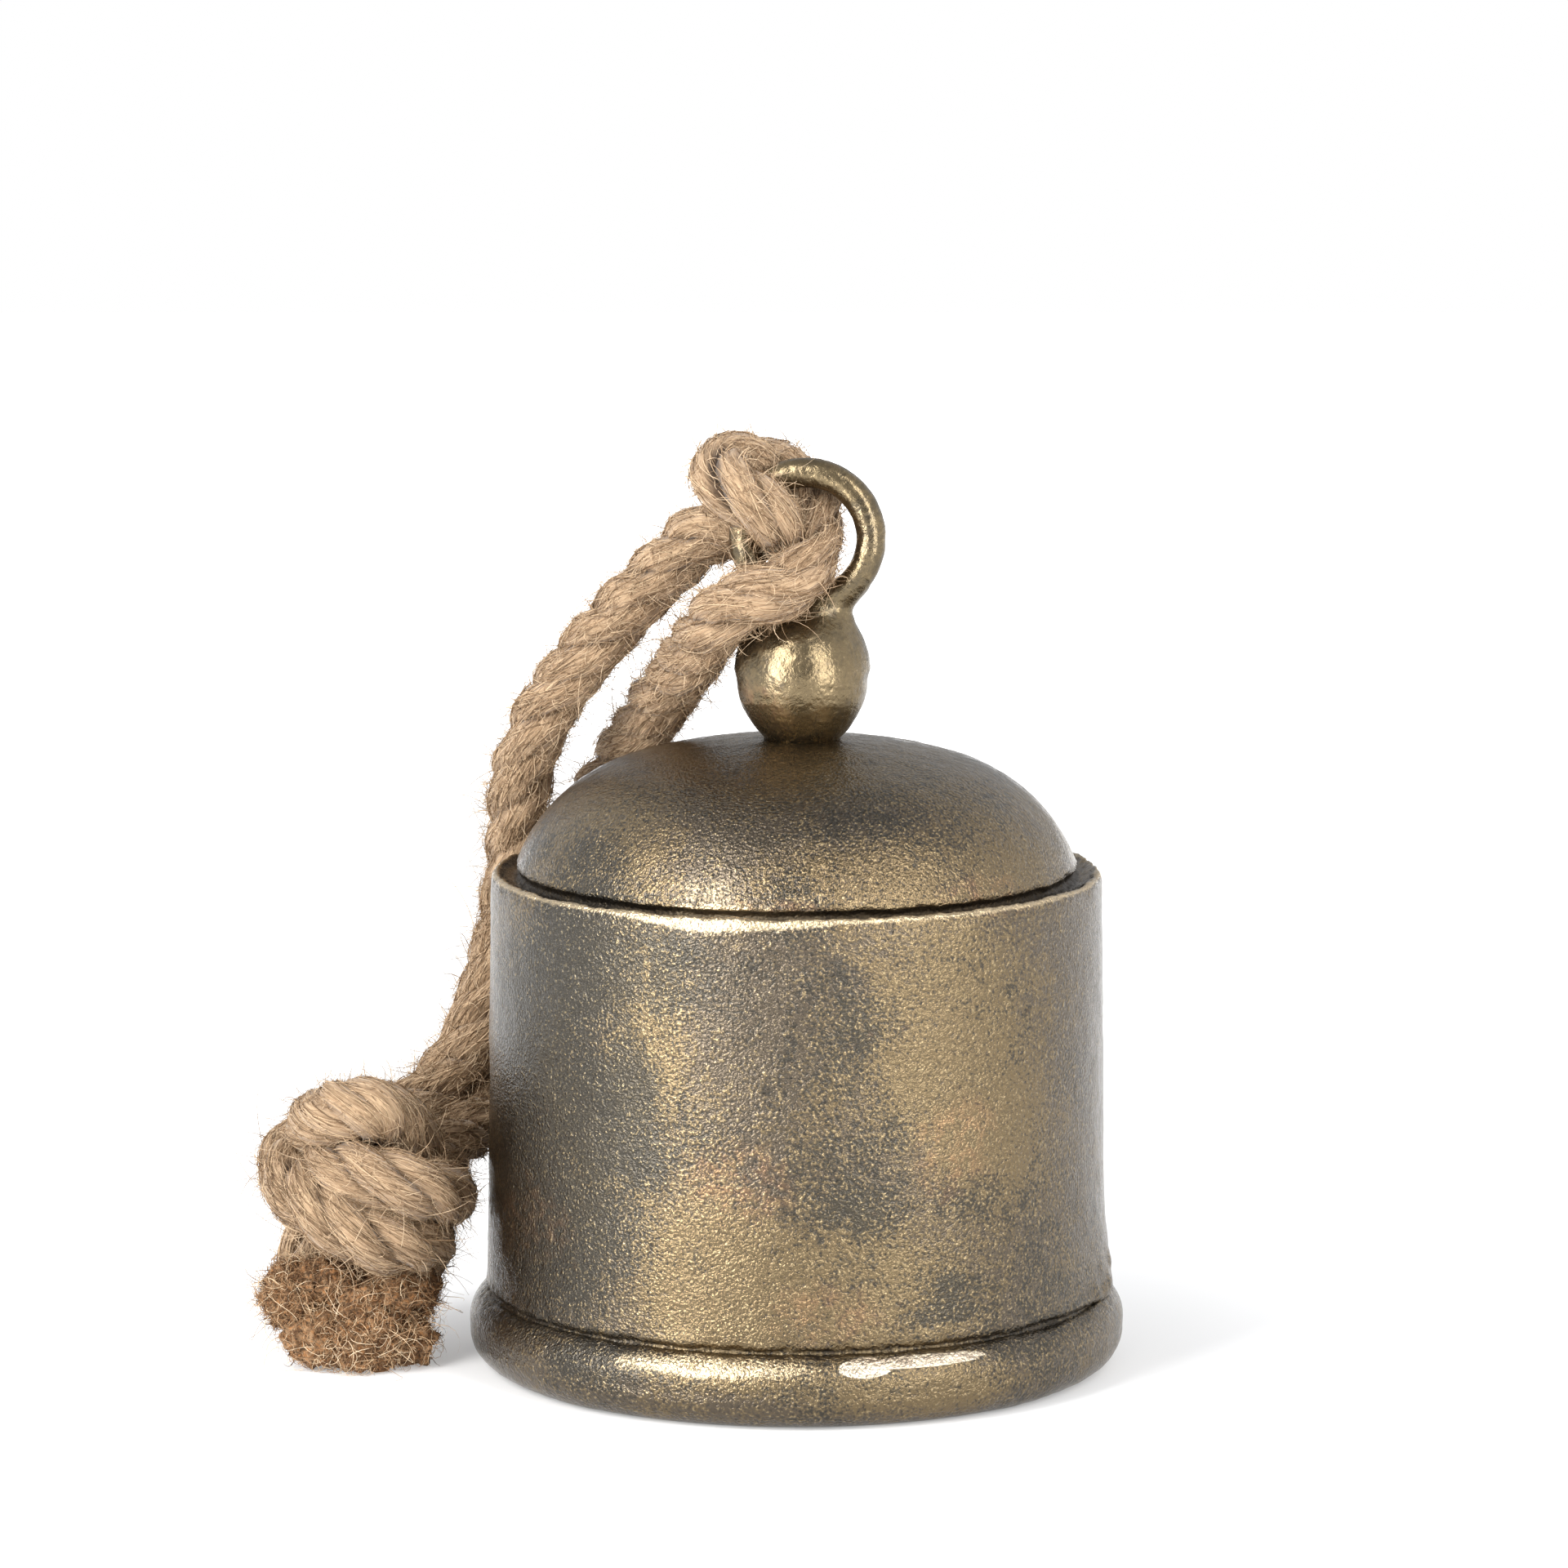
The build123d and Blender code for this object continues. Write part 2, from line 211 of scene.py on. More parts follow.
def wander(s, seed, size, terms=6):
    """A smooth random wave of about unit height along s."""
    rng = np.random.default_rng(seed)
    total = np.zeros_like(s)
    for _ in range(terms):
        total += np.sin(s / size * rng.uniform(0.5, 1.6) * 2 * np.pi + rng.uniform(0, 6.3))
    return total / math.sqrt(terms)


def added_twist(s):
    """Extra turn, in radians, where the top wrap of the knot is screwed tight."""
    middle = rope_s[i_leg_b] + SCREWED_AT
    return SCREWED * np.tanh((s - middle) / SCREWED_SPAN)


strand_centre, strand_out, strand_t = [], [], []
for k in range(3):
    turn = rope_s * 2 * np.pi / LAY + 2 * np.pi * k / 3 + 0.18 * wander(rope_s, 10 + k, 60 * MM)
    turn += added_twist(rope_s)
    out = np.cos(turn)[:, None] * rope_n + np.sin(turn)[:, None] * rope_b
    offset = STRAND_OFFSET * scale * (1 + 0.035 * wander(rope_s, 20 + k, 25 * MM))
    centre = rope_line + out * offset[:, None]
    tangent = unit(np.gradient(centre, axis=0))
    out = unit(out - tangent * (out * tangent).sum(1, keepdims=True))
    strand_centre.append(centre)
    strand_out.append(out)
    strand_t.append(tangent)
strand_centre, strand_out, strand_t = map(np.array, (strand_centre, strand_out, strand_t))


def strand_ring_radius(k, theta, s):
    """Strand radius at angle theta (outward is 0) and distance s: yarns and slack fibre."""
    twist = theta + YARN_TWIST * s + YARN_PHASE * k
    yarns = np.abs(np.cos(twist * YARNS / 2))
    loose = (0.022 * np.sin(3 * twist + 260 * s + k) + 0.02 * np.sin(2 * theta - 430 * s + 2 * k)
             + 0.014 * np.sin(5 * twist - 700 * s))
    swell = 1 + 0.045 * wander(s, 40 + k, 14 * MM)
    tight = np.interp(s, rope_s, scale)
    return STRAND * tight * swell * (0.91 + 0.13 * yarns ** 0.6 + loose)


def round_strand(column, s, k):
    """Distance round strand k, in metres, of a column of points: it follows the yarns."""
    return (column * (2 * np.pi / ROUND) + YARN_TWIST * s + YARN_PHASE * k) * STRAND


def rope_piece(name, start, stop):
    """Three strands of the rope between two samples."""
    index = np.arange(start, stop + 1)
    theta = np.arange(ROUND) * 2 * np.pi / ROUND
    vertices, faces, uvs, depth = [], [], [], []
    for k in range(3):
        base = sum(len(v) for v in vertices)
        side = np.cross(strand_t[k][index], strand_out[k][index])
        i_grid, theta_grid = np.meshgrid(index, theta, indexing="ij")
        radius = strand_ring_radius(k, theta_grid, rope_s[i_grid])
        ring = (strand_centre[k][index][:, None]
                + (radius * np.cos(theta_grid) * FLATTEN)[..., None] * strand_out[k][index][:, None]
                + (radius * np.sin(theta_grid) * WIDEN)[..., None] * side[:, None])
        from_axis = np.linalg.norm(ring - rope_line[index][:, None], axis=2)
        depth.append((from_axis / (ROPE_REACH * scale[index][:, None])).ravel())
        rows, columns = len(index), ROUND
        vertices.append(ring.reshape(-1, 3))
        a, b = np.meshgrid(np.arange(rows - 1), np.arange(columns), indexing="ij")
        after = (b + 1) % columns
        quads = np.stack([a * columns + b, a * columns + after, (a + 1) * columns + after,
                          (a + 1) * columns + b], axis=-1).reshape(-1, 4) + base
        faces += quads.tolist()
        s_low = rope_s[index[:-1]][:, None] + 0 * b
        s_high = rope_s[index[1:]][:, None] + 0 * b
        corner_u = np.stack([round_strand(column, s, k) for column, s in
                             ((b, s_low), (b + 1, s_low), (b + 1, s_high), (b, s_high))], axis=-1)
        corner_v = np.stack([s_low, s_low, s_high, s_high], axis=-1) + 0.7 * k
        uvs.append(np.stack([corner_u, corner_v], axis=-1).reshape(-1, 2))
        for row, flip in ((0, True), (rows - 1, False)):
            cap = [base + row * columns + c for c in range(columns)]
            faces.append(cap[::-1] if flip else cap)
            uvs.append(np.zeros((columns, 2)))
    piece = add_object(name, np.concatenate(vertices), faces)
    layer = piece.data.uv_layers.new(name="fibre")
    layer.data.foreach_set("uv", np.concatenate(uvs).ravel())
    add_mark(piece, "depth", np.concatenate(depth))
    return piece


TAPER = 0.6  # how much thinner a fibre is at its tip
SEGMENTS, CURL_SEGMENTS = 6, 7
STRAY_SHARE = 0.012  # of the loose fibres, these are much longer
LONGEST = 12 * MM  # of the others


def fibre_tubes(name, line, thickness, rng):
    """Tapering three-sided tubes, in one mesh, along lines of equal point counts."""
    count, rows = line.shape[:2]
    heading = unit(line[:, rows // 2] - line[:, 0])
    across = unit(np.cross(heading, unit(rng.normal(size=(count, 3)))))
    other = np.cross(heading, across)
    taper = thickness[:, None, None] * (1 - TAPER * np.linspace(0, 1, rows)[None, :, None])
    angles = np.arange(3) * 2 * np.pi / 3
    rings = np.stack([line + taper * (across[:, None] * math.cos(a) + other[:, None] * math.sin(a))
                      for a in angles], axis=2)
    one = [(row * 3 + c, row * 3 + (c + 1) % 3, (row + 1) * 3 + (c + 1) % 3, (row + 1) * 3 + c)
           for row in range(rows - 1) for c in range(3)]
    per = rows * 3
    quads = (np.array(one)[None] + np.arange(count)[:, None, None] * per).reshape(-1, 4)
    caps = np.arange(count)[:, None] * per
    faces = quads.tolist() + (caps + np.array([2, 1, 0])).tolist()
    faces += (caps + (rows - 1) * 3 + np.array([0, 1, 2])).tolist()
    piece = add_object(name, rings.reshape(-1, 3), faces)
    add_mark(piece, "shade", np.repeat(rng.random(count), per))
    return piece


def curled_lines(root, direction, length, bend, segments, rng):
    """Lines that start at their roots and curl away from their directions."""
    count = len(root)
    direction = unit(direction)
    across = unit(np.cross(direction, unit(rng.normal(size=(count, 3)))))
    other = np.cross(direction, across)
    t = np.linspace(0, 1, segments + 1)
    spin = rng.uniform(0, 2 * np.pi, count)[:, None] + (rng.normal(0, 2.2, count) * bend)[:, None] * t
    heading = across[:, None] * np.cos(spin)[..., None] + other[:, None] * np.sin(spin)[..., None]
    lean = (bend[:, None] * t * 1.5)[..., None]
    path = direction[:, None] * np.cos(lean) + heading * np.sin(lean)
    path = path * (length / segments)[:, None, None]
    return root[:, None] + np.cumsum(path, axis=1) - path[:, :1]


def lying_fibres(name, start, stop, count, seed):
    """Loose fibres that lie along the strands and lift a little at their ends."""
    rng = np.random.default_rng(seed)
    t = np.linspace(0, 1, SEGMENTS + 1)
    lines = []
    samples = np.arange(len(rope_line))
    for k in range(3):
        some = count // 3
        first = rng.uniform(start + 2, stop - 2, some)
        theta = rng.uniform(-1.35, 1.35, some)
        length = rng.uniform(4.0, 13.0, some) * MM
        slant = -YARN_TWIST * STRAND + rng.normal(0, 0.3, some)
        run = length / np.sqrt(1 + slant ** 2) * rng.choice([-1, 1], some)
        at = np.clip(first[:, None] + run[:, None] * t / STEP, start + 1, stop - 1)
        theta = theta[:, None] + (slant * run / STRAND)[:, None] * t
        height = (rng.uniform(-0.05, 0.45, some)[:, None] * np.sin(np.pi * t)
                  + rng.exponential(0.5, some)[:, None] * t ** 2 + 0.02) * MM
        radius = strand_ring_radius(k, theta, at * STEP) + height
        centre, out, tangent = [np.stack([np.interp(at, samples, row[:, c]) for c in range(3)], axis=-1)
                                for row in (strand_centre[k], strand_out[k], strand_t[k])]
        side = np.cross(tangent, out)
        lines.append(centre + (radius * np.cos(theta) * FLATTEN)[..., None] * out
                     + (radius * np.sin(theta) * WIDEN)[..., None] * side)
    line = np.concatenate(lines)
    return fibre_tubes(name, line, rng.uniform(0.07, 0.16, len(line)) * MM, rng)


def rope_fuzz(name, start, stop, count, seed, longest=1.0, thick=1.0):
    """Loose fibres that stand off the strands' outer sides; longest and thick scale their size."""
    rng = np.random.default_rng(seed)
    i = rng.integers(start, stop, count)
    k = rng.integers(0, 3, count)
    theta = rng.normal(0, 1.0, count)
    centre, out, tangent = strand_centre[k, i], strand_out[k, i], strand_t[k, i]
    side = np.cross(tangent, out)
    normal = out * np.cos(theta)[:, None] + side * np.sin(theta)[:, None]
    root = centre + normal * (STRAND * 0.95 * scale[i])[:, None]
    along = rope_t[i] * rng.choice([-1, 1], count)[:, None]
    lift = rng.uniform(0.15, 1.2, count)[:, None]
    direction = normal * lift + along * 0.8 + rng.normal(0, 0.45, (count, 3))
    length = rng.gamma(1.6, 1.9, count) * MM * longest + 1.2 * MM
    length = np.minimum(length, LONGEST)
    strays = rng.random(count) < STRAY_SHARE
    length[strays] = rng.uniform(12, 22, strays.sum()) * MM
    direction[strays] = (along + normal * 0.35)[strays]
    thickness = rng.uniform(0.065, 0.13, count) * thick * MM
    bend = np.abs(rng.normal(0, 1.3, count)) + 0.2
    bend[strays] = rng.uniform(0.4, 1.1, strays.sum())
    line = np.clip(curled_lines(root, direction, length, bend, SEGMENTS, rng), FUZZ_LOW, FUZZ_HIGH)
    return fibre_tubes(name, line, thickness, rng)


LAST = len(rope_line) - 1

rope_a = rope_piece("rope_a", i_leg_a, i_split)
rope_b_piece = rope_piece("rope_b", i_split, i_leg_b)
knot_a = rope_piece("knot_pass_a", 0, i_leg_a)
knot_b = rope_piece("knot_pass_b", i_leg_b, LAST)
fuzz_a = rope_fuzz("rope_a_fuzz", i_leg_a, i_split, 5100, 1)
fuzz_b = rope_fuzz("rope_b_fuzz", i_split, i_leg_b, 5100, 2)
fuzz_knot_a = rope_fuzz("knot_a_fuzz", 20, i_leg_a, 2000, 3, 1.2, 0.85)
fuzz_knot_b = rope_fuzz("knot_b_fuzz", i_leg_b, LAST - 19, 3400, 4, 1.2, 0.85)
wisps_a = rope_fuzz("rope_a_wisps", i_leg_a, i_split, 3600, 41, 1.5, 0.7)
wisps_b = rope_fuzz("rope_b_wisps", i_split, i_leg_b, 3600, 42, 1.5, 0.7)
wisps_knot = rope_fuzz("knot_wisps", i_leg_b, LAST - 19, 1800, 43, 1.7, 0.7)
fibres_a = lying_fibres("rope_a_fibres", i_leg_a, i_split, 4500, 5)
fibres_b = lying_fibres("rope_b_fibres", i_split, i_leg_b, 4500, 6)
fibres_knot_a = lying_fibres("knot_a_fibres", 10, i_leg_a, 2500, 7)
fibres_knot_b = lying_fibres("knot_b_fibres", i_leg_b, LAST - 9, 3900, 8)

# ---------- bell shell
# the outline's numbers are (radius, height) pairs in millimetres
DOME_TOP, SEAT_Z = 144.33, 144.0  # the crown stands on a small flat seat
CAP_R, SHOULDER_R, SHOULDER_X = 144.0, 37.86, 28.27  # the dome is two arcs that meet
BASE = DOME_TOP - CAP_R
DOME_THICK = 4.8
STUD_HOLE = 4.05
BOSS_R, BOSS_Z = 11.0, 137.6
LIP_Z = 113.8  # top of the wall's rounded lip
GROOVE_Z = 18
WALL_TOP, WALL_FOOT = (69.83, 109.5), (71.15, 19.3)
BEAD_CREST = (75.0, 8.5)
MEET = math.asin(SHOULDER_X / (CAP_R - SHOULDER_R))
SHOULDER_Z = BASE + (CAP_R - SHOULDER_R) * math.cos(MEET)


def arc(centre, radius, first, last, count):
    """Points (r, z) along an arc; angles are from straight up."""
    return [(centre[0] + radius * math.sin(a), centre[1] + radius * math.cos(a))
            for a in np.linspace(first, last, count)]


def circle_through(a, b, c):
    """Points along the arc from a through b to c."""
    a, b, c = np.array((a, b, c))
    centre = np.linalg.solve(2 * np.array((b - a, c - a)), (b.dot(b) - a.dot(a), c.dot(c) - a.dot(a)))
    first, last = (math.atan2(*(p - centre)) for p in (a, c))
    return arc(centre, math.hypot(*(a - centre)), first, last, 16)


shoulder = (SHOULDER_X, SHOULDER_Z)
seat_lean = math.acos((SEAT_Z - BASE) / CAP_R)
# below the shoulder the dome runs into the ledge with a small crevice
dome_outline = arc((0, BASE), CAP_R, seat_lean, MEET, 60) + arc(shoulder, SHOULDER_R, MEET, 1.235, 60)[1:]
ledge = [(64.02, 115.1), (63.85, 114.75), (63.4, 114.4), (63.05, 113.8), (63.05, 113.1), (63.6, 112.5),
         (64.8, 112.2), (66.2, 112.35), (67.1, 112.85), (67.7, 113.45), (68.2, 113.85), (68.7, 113.85),
         (69.1, 113.5), (69.4, 112.9), (69.62, 112.1), (69.75, 111.0), WALL_TOP]
wall = [WALL_TOP, WALL_FOOT]
groove = [WALL_FOOT, (71.05, 18.5), (70.5, 17.9), (70.15, 17.3), (70.4, 16.8), (71.5, 16.6)]
bead = (circle_through(groove[-1], (74.1, 14.0), BEAD_CREST)
        + circle_through(BEAD_CREST, (73.1, 2.5), (69.2, 0.25))[1:] + [(68.5, 0.0)])
inner = [(66.8, 0.0), (66.05, 0.3), (65.8, 1.0), (64.9, 106.0)]
inner_dome = (arc(shoulder, SHOULDER_R - DOME_THICK, math.radians(78), MEET, 24)
              + arc((0, BASE), CAP_R - DOME_THICK, MEET, math.asin(BOSS_R / (CAP_R - DOME_THICK)), 16)[1:])
boss = [(BOSS_R, BOSS_Z), (STUD_HOLE, BOSS_Z)]

# from the seat down the outside to the rim, and back up inside
outline = [(STUD_HOLE, SEAT_Z), (CAP_R * math.sin(seat_lean), SEAT_Z)]
for run, spacing in ((dome_outline, 1.1), (ledge, 0.55), (wall, 1.12), (groove, 0.5), (bead, 0.9),
                     ([bead[-1], inner[0]], 1.7), (inner[:3], 0.5), (inner[2:], 4.0),
                     ([inner[-1]] + inner_dome, 4.0), ([inner_dome[-1]] + boss, 4.0)):
    points, _ = even_points(np.array(run), lambda length: max(2, int(round(length / spacing)) + 1))
    outline += points[1:].tolist()
outline = np.array(outline)
apart = np.linalg.norm(np.diff(outline, axis=0), axis=1)
outline = outline[np.r_[True, apart > 0.02]]

COLUMNS = 400
INSIDE_FROM = 66.5  # past the last point that is wider than this, the outline is inside
LUMP_TURN, LUMP_SPREAD = 9, 9.5  # degrees: where the lump at the wall's foot is, and how wide


def cast_height(point, inside):
    """Height of the casting's skin, in millimetres, at a point in millimetres."""
    p = Vector(point)
    wide = noise.noise(p / 34.0 + Vector((3, 7, 1)))
    middle = noise.noise(p / 9.0 + Vector((11, 2, 5)))
    small = noise.noise(p / 3.1)
    grain = noise.noise(p / 1.45 + Vector((5, 5, 9)))
    if inside:
        return 0.15 * middle + 0.08 * small
    return 0.28 * wide + 0.13 * middle + 0.075 * small + 0.07 * grain


def edge_height(point, angle, r, z):
    """What the skin has besides, in millimetres: a rough lip and groove, and a lump at the wall's foot."""
    height = 0.0
    if 109 < z < 116 and r > 62.8:
        lip = noise.noise(Vector(point) / 1.7) * 0.4 + noise.noise(Vector(point) / 6.0) * 0.5
        height += lip * (1 - min(1.0, abs(z - LIP_Z) / 4.0))
    if 15.5 < z < 22 and r > 69:
        rough = 0.55 * noise.noise(Vector(point) / 1.8) + 0.4 * noise.noise(Vector(point) / 7.0)
        height += rough * (1 - min(1.0, abs(z - GROOVE_Z) / 4.0))
    if 14 < z < 42 and r > 69:
        turn = (math.degrees(angle) + 180 + LUMP_TURN) % 360 - 180
        rise = min(1.0, max(0.0, (42 - z) / 22)) * min(1.0, (z - 14) / 4)
        knobs = 1 + 0.5 * noise.noise(Vector(point) / 4.0)
        height += 2.0 * knobs * rise ** 2 * math.exp(-(turn / LUMP_SPREAD) ** 2)
    return height


def hollow_at(r, z):
    """How deep a ring of the outline lies in the crevice under the dome or in the groove, where the material
    paints shade.
    """
    crevice = max(0.0, min(1.0, (65.4 - r) / 1.5)) * (111 < z < 114.85) * (r > 62.5)
    return crevice + max(0.0, min(0.5, (70.95 - r) / 1.2)) * (16.5 < z < 18.8) * (r > 69)


def wear_and_highlight_at(r, z):
    """How bright the casting is painted, partly wear and partly a painted highlight: most on the lip's round,
    some on the bead's crest.
    """
    lip = math.exp(-(math.hypot(r - 68.75, z - 113.4) / 1.0) ** 2)
    return lip + 0.25 * (r > 71) * math.exp(-((z - 9.5) / 3.5) ** 2)


def revolved_shell():
    angles = np.arange(COLUMNS) * 2 * np.pi / COLUMNS
    direction = np.gradient(outline, axis=0)
    normal = unit(np.stack([-direction[:, 1], direction[:, 0]], axis=1))
    rows = len(outline)
    rim = int(np.flatnonzero(outline[:, 0] > INSIDE_FROM).max())
    vertices = []
    for row, ((r, z), (nr, nz)) in enumerate(zip(outline, normal)):
        for angle in angles:
            c, s = math.cos(angle), math.sin(angle)
            point = (r * c, r * s, z)
            # the rim stays flat on the floor, and the seat flat under the crown
            height = 0.0
            if z >= 0.3 and r >= 9.0:
                height = cast_height(point, row > rim) + edge_height(point, angle, r, z)
            vertices.append(((r + nr * height) * c * MM, (r + nr * height) * s * MM,
                             (z + nz * height) * MM))
    a, b = np.meshgrid(np.arange(rows), np.arange(COLUMNS), indexing="ij")
    below = (a + 1) % rows
    after = (b + 1) % COLUMNS
    quads = np.stack([a * COLUMNS + b, below * COLUMNS + b, below * COLUMNS + after,
                      a * COLUMNS + after], axis=-1).reshape(-1, 4)
    piece = add_object("bell_casting", vertices, quads)
    for _ in ("outside", "inside"):
        piece.data.materials.append(None)
    piece.data.polygons.foreach_set("material_index", (a > rim).astype(np.int32).ravel())
    # the first mark places painted shade: the crevice under the dome and the groove
    add_mark(piece, "hollow", np.repeat([hollow_at(r, z) for r, z in outline], COLUMNS))
    # the second mark is wear with a painted highlight on the lip's round and the bead's crest
    add_mark(piece, "wear_and_highlight", np.repeat([wear_and_highlight_at(r, z) for r, z in outline], COLUMNS))
    return piece


bell = revolved_shell()


# ---------- crown casting
def blend_min(a, b, k):
    h = np.clip(0.5 + 0.5 * (b - a) / k, 0, 1)
    return b + (a - b) * h - k * h * (1 - h)


def surface_net(value, low, cell):
    """Vertices and quads of a field's zero level."""
    shape = np.array(value.shape) - 1
    total = np.zeros(tuple(shape) + (3,))
    hits = np.zeros(tuple(shape))
    for axis in range(3):
        others = [i for i in range(3) if i != axis]
        for a in (0, 1):
            for b in (0, 1):
                first = [0, 0, 0]
                first[others[0]], first[others[1]] = a, b
                last = list(first)
                last[axis] = 1
                v0 = value[tuple(slice(f, f + n) for f, n in zip(first, shape))]
                v1 = value[tuple(slice(f, f + n) for f, n in zip(last, shape))]
                crossed = (v0 < 0) != (v1 < 0)
                t = np.where(crossed, v0 / np.where(crossed, v0 - v1, 1.0), 0.0)
                for i in range(3):
                    total[..., i] += crossed * first[i]
                total[..., axis] += t
                hits += crossed
    used = hits > 0
    number = np.full(tuple(shape), -1)
    number[used] = np.arange(used.sum())
    where = np.argwhere(used)
    vertices = np.array(low) + cell * (where + total[used] / hits[used][:, None])
    quads = []
    inside = value < 0
    for axis in range(3):
        others = [i for i in range(3) if i != axis]
        core = [slice(1, n) for n in shape]
        core[axis] = slice(0, shape[axis])
        far = list(core)
        far[axis] = slice(1, shape[axis] + 1)
        a, b = inside[tuple(core)], inside[tuple(far)]
        for flip, wanted in ((False, a & ~b), (True, ~a & b)):
            at = np.argwhere(wanted)
            at[:, others] += 1
            corners = []
            for da, db in ((1, 1), (0, 1), (0, 0), (1, 0)):
                cell_at = at.copy()
                cell_at[:, others] -= (da, db)
                corners.append(number[tuple(cell_at.T)])
            quad = np.stack(corners, axis=1)
            if flip != (axis == 1):
                quad = quad[:, ::-1]
            quads.append(quad)
    return vertices, np.concatenate(quads)


# the crown's numbers are in millimetres
RING_TURN = math.radians(-10.0)
RING_R, BAR_R, HOLE_R = 14.6, 3.45, 10.6
BALL_X, BALL_Z, BALL_R = 1.3, 158.9, 15.1
FOOT_HEIGHTS = [143.0, 144.2, 145.0, 146.0, 147.4, 149.3, 151.2, 153.1, 155.5, BALL_Z]
FOOT_RADII = [7.9, 8.7, 9.4, 10.4, 11.5, 12.7, 13.65, 14.3, 14.8, BALL_R]
NECK_X, NECK_LOW, NECK_HIGH = 1.5, 162, 177.5
NECK_HEIGHTS = [163, 167, 170.5, 173, 176, 180]
NECK_HALF_WIDTHS = [12.6, 11.6, 10.6, 10.8, 11.5, 12.5]
NECK_HALF_DEPTHS = [8.5, 6.9, 5.6, 4.7, 3.8, 3.2]
CROWN_FOOT, PLAIN_BELOW = 143.75, 144.2  # it starts under the dome's top, so that no gap shows
CELL = 0.45


def crown_field(x, y, z):
    """Signed distance, in millimetres, to the crown's ball, neck and ring."""
    across = np.hypot(x - BALL_X, y)
    ball = np.sqrt((x - BALL_X) ** 2 + y ** 2 + (z - BALL_Z) ** 2) - BALL_R
    foot = (across - np.interp(z, FOOT_HEIGHTS, FOOT_RADII)) * 0.85
    body = np.where(z > BALL_Z, ball, foot)
    c, s = math.cos(RING_TURN), math.sin(RING_TURN)
    along = (x - RING_X) * c + y * s
    out = -(x - RING_X) * s + y * c
    from_centre = np.hypot(along, z - RING_Z)
    ring = np.hypot(from_centre - RING_R, out) - BAR_R
    half = np.interp(z, NECK_HEIGHTS, NECK_HALF_WIDTHS)
    deep = np.interp(z, NECK_HEIGHTS, NECK_HALF_DEPTHS)
    reach = np.sqrt(((x - NECK_X) / half) ** 2 + (y / deep) ** 2)
    neck = (reach - 1) * np.minimum(half, deep)
    neck = np.maximum(neck, np.maximum(z - NECK_HIGH, NECK_LOW - z))
    joined = blend_min(neck, ring, 2.6)
    # keep the ring's hole open above the neck
    joined = -blend_min(-joined, from_centre - HOLE_R, 1.6)
    field = blend_min(body, joined, 4.5)
    return np.maximum(field, CROWN_FOOT - z)


def crown_casting():
    low = (-17.0, -17.2, 142.6)
    counts = (88, 77, 149)
    axes = [low[i] + CELL * np.arange(counts[i]) for i in range(3)]
    x, y, z = np.meshgrid(*axes, indexing="ij")
    vertices, quads = surface_net(crown_field(x, y, z), low, CELL)
    e = 0.2  # millimetres each way, for the field's slope
    slope = np.stack([crown_field(*(vertices + e * axis).T) - crown_field(*(vertices - e * axis).T)
                      for axis in np.eye(3)], axis=1)
    normal = unit(slope)
    # settle on the true surface, then add the casting's skin
    vertices = vertices - normal * crown_field(*vertices.T)[:, None]
    height = np.array([0.16 * noise.noise(Vector(p) / 9.0) + 0.09 * noise.noise(Vector(p) / 3.2)
                       + 0.05 * noise.noise(Vector(p) / 1.5) for p in vertices])
    height[vertices[:, 2] < PLAIN_BELOW] = 0
    vertices = vertices + normal * height[:, None]
    return add_object("crown_casting", vertices * MM, quads)


crown = crown_casting()


# ---------- frayed rope ends
def lobe(centre, size, tilt, seed, detail):
    """A clump of frayed fibre: a rough crumbly lump, in millimetres."""
    mesh = bmesh.new()
    bmesh.ops.create_icosphere(mesh, subdivisions=detail, radius=1.0)
    points = np.array([v.co for v in mesh.verts])
    faces = [[v.index for v in f.verts] for f in mesh.faces]
    mesh.free()
    offset = Vector((seed * 3.7, seed * 1.3, seed * 2.1))
    out = []
    c, s = math.cos(tilt), math.sin(tilt)
    for p in points:
        body = Vector((p[0] * size[0], p[1] * size[1], p[2] * size[2]))
        place = body + offset
        crumb = 0.45 - noise.voronoi(place / 2.7)[0][0]
        height = (1.5 * noise.noise(place / 5.0) + 0.7 * noise.noise(place / 2.2) + 2.8 * crumb
                  + 0.7 * (0.3 - abs(noise.noise(place / 0.9))))
        grown = body + Vector(p) * height
        x, z = grown.x * c - grown.z * s, grown.x * s + grown.z * c
        out.append((x + centre[0], grown.y + centre[1], max(z + centre[2], 0.05)))
    return np.array(out), faces


def frayed_end(name, lobes, seed):
    """One frayed end: its lumps in one mesh. A lobe is its centre, half sizes, tilt and detail."""
    vertices, faces = [], []
    for k, (centre, size, tilt, detail) in enumerate(lobes):
        points, part = lobe(centre, size, tilt, seed + k, detail)
        base = sum(len(v) for v in vertices)
        vertices.append(points * MM)
        faces += [[base + i for i in face] for face in part]
    return add_object(name, np.concatenate(vertices), faces)


def frayed_fuzz(name, piece, lobes, count, seed, length_range, bend_range, lift, thick_range):
    """Curly fibres all over the outside of the lumps; lengths and thicknesses in millimetres."""
    rng = np.random.default_rng(seed)
    total = len(piece.data.vertices)
    place, normal = np.empty(total * 3), np.empty(total * 3)
    piece.data.vertices.foreach_get("co", place)
    piece.data.vertices.foreach_get("normal", normal)
    pick = rng.integers(0, total, count * 2)
    root, normal = place.reshape(-1, 3)[pick], normal.reshape(-1, 3)[pick]
    reach = np.min([np.linalg.norm((root / MM - centre) / size, axis=1) for centre, size, _, _ in lobes],
                   axis=0)
    open_air = (reach > 0.92) & (root[:, 2] > 1.2 * MM)
    root, normal = root[open_air][:count], normal[open_air][:count]
    count = len(root)
    direction = normal * rng.uniform(0.5, 1.0, (count, 1)) * lift + rng.normal(0, 0.75, (count, 3))
    length = rng.uniform(*length_range, count) * MM
    bend = rng.uniform(*bend_range, count)
    line = np.clip(curled_lines(root, direction, length, bend, CURL_SEGMENTS, rng), FUZZ_LOW, FUZZ_HIGH)
    return fibre_tubes(name, line, rng.uniform(*thick_range, count) * MM, rng)


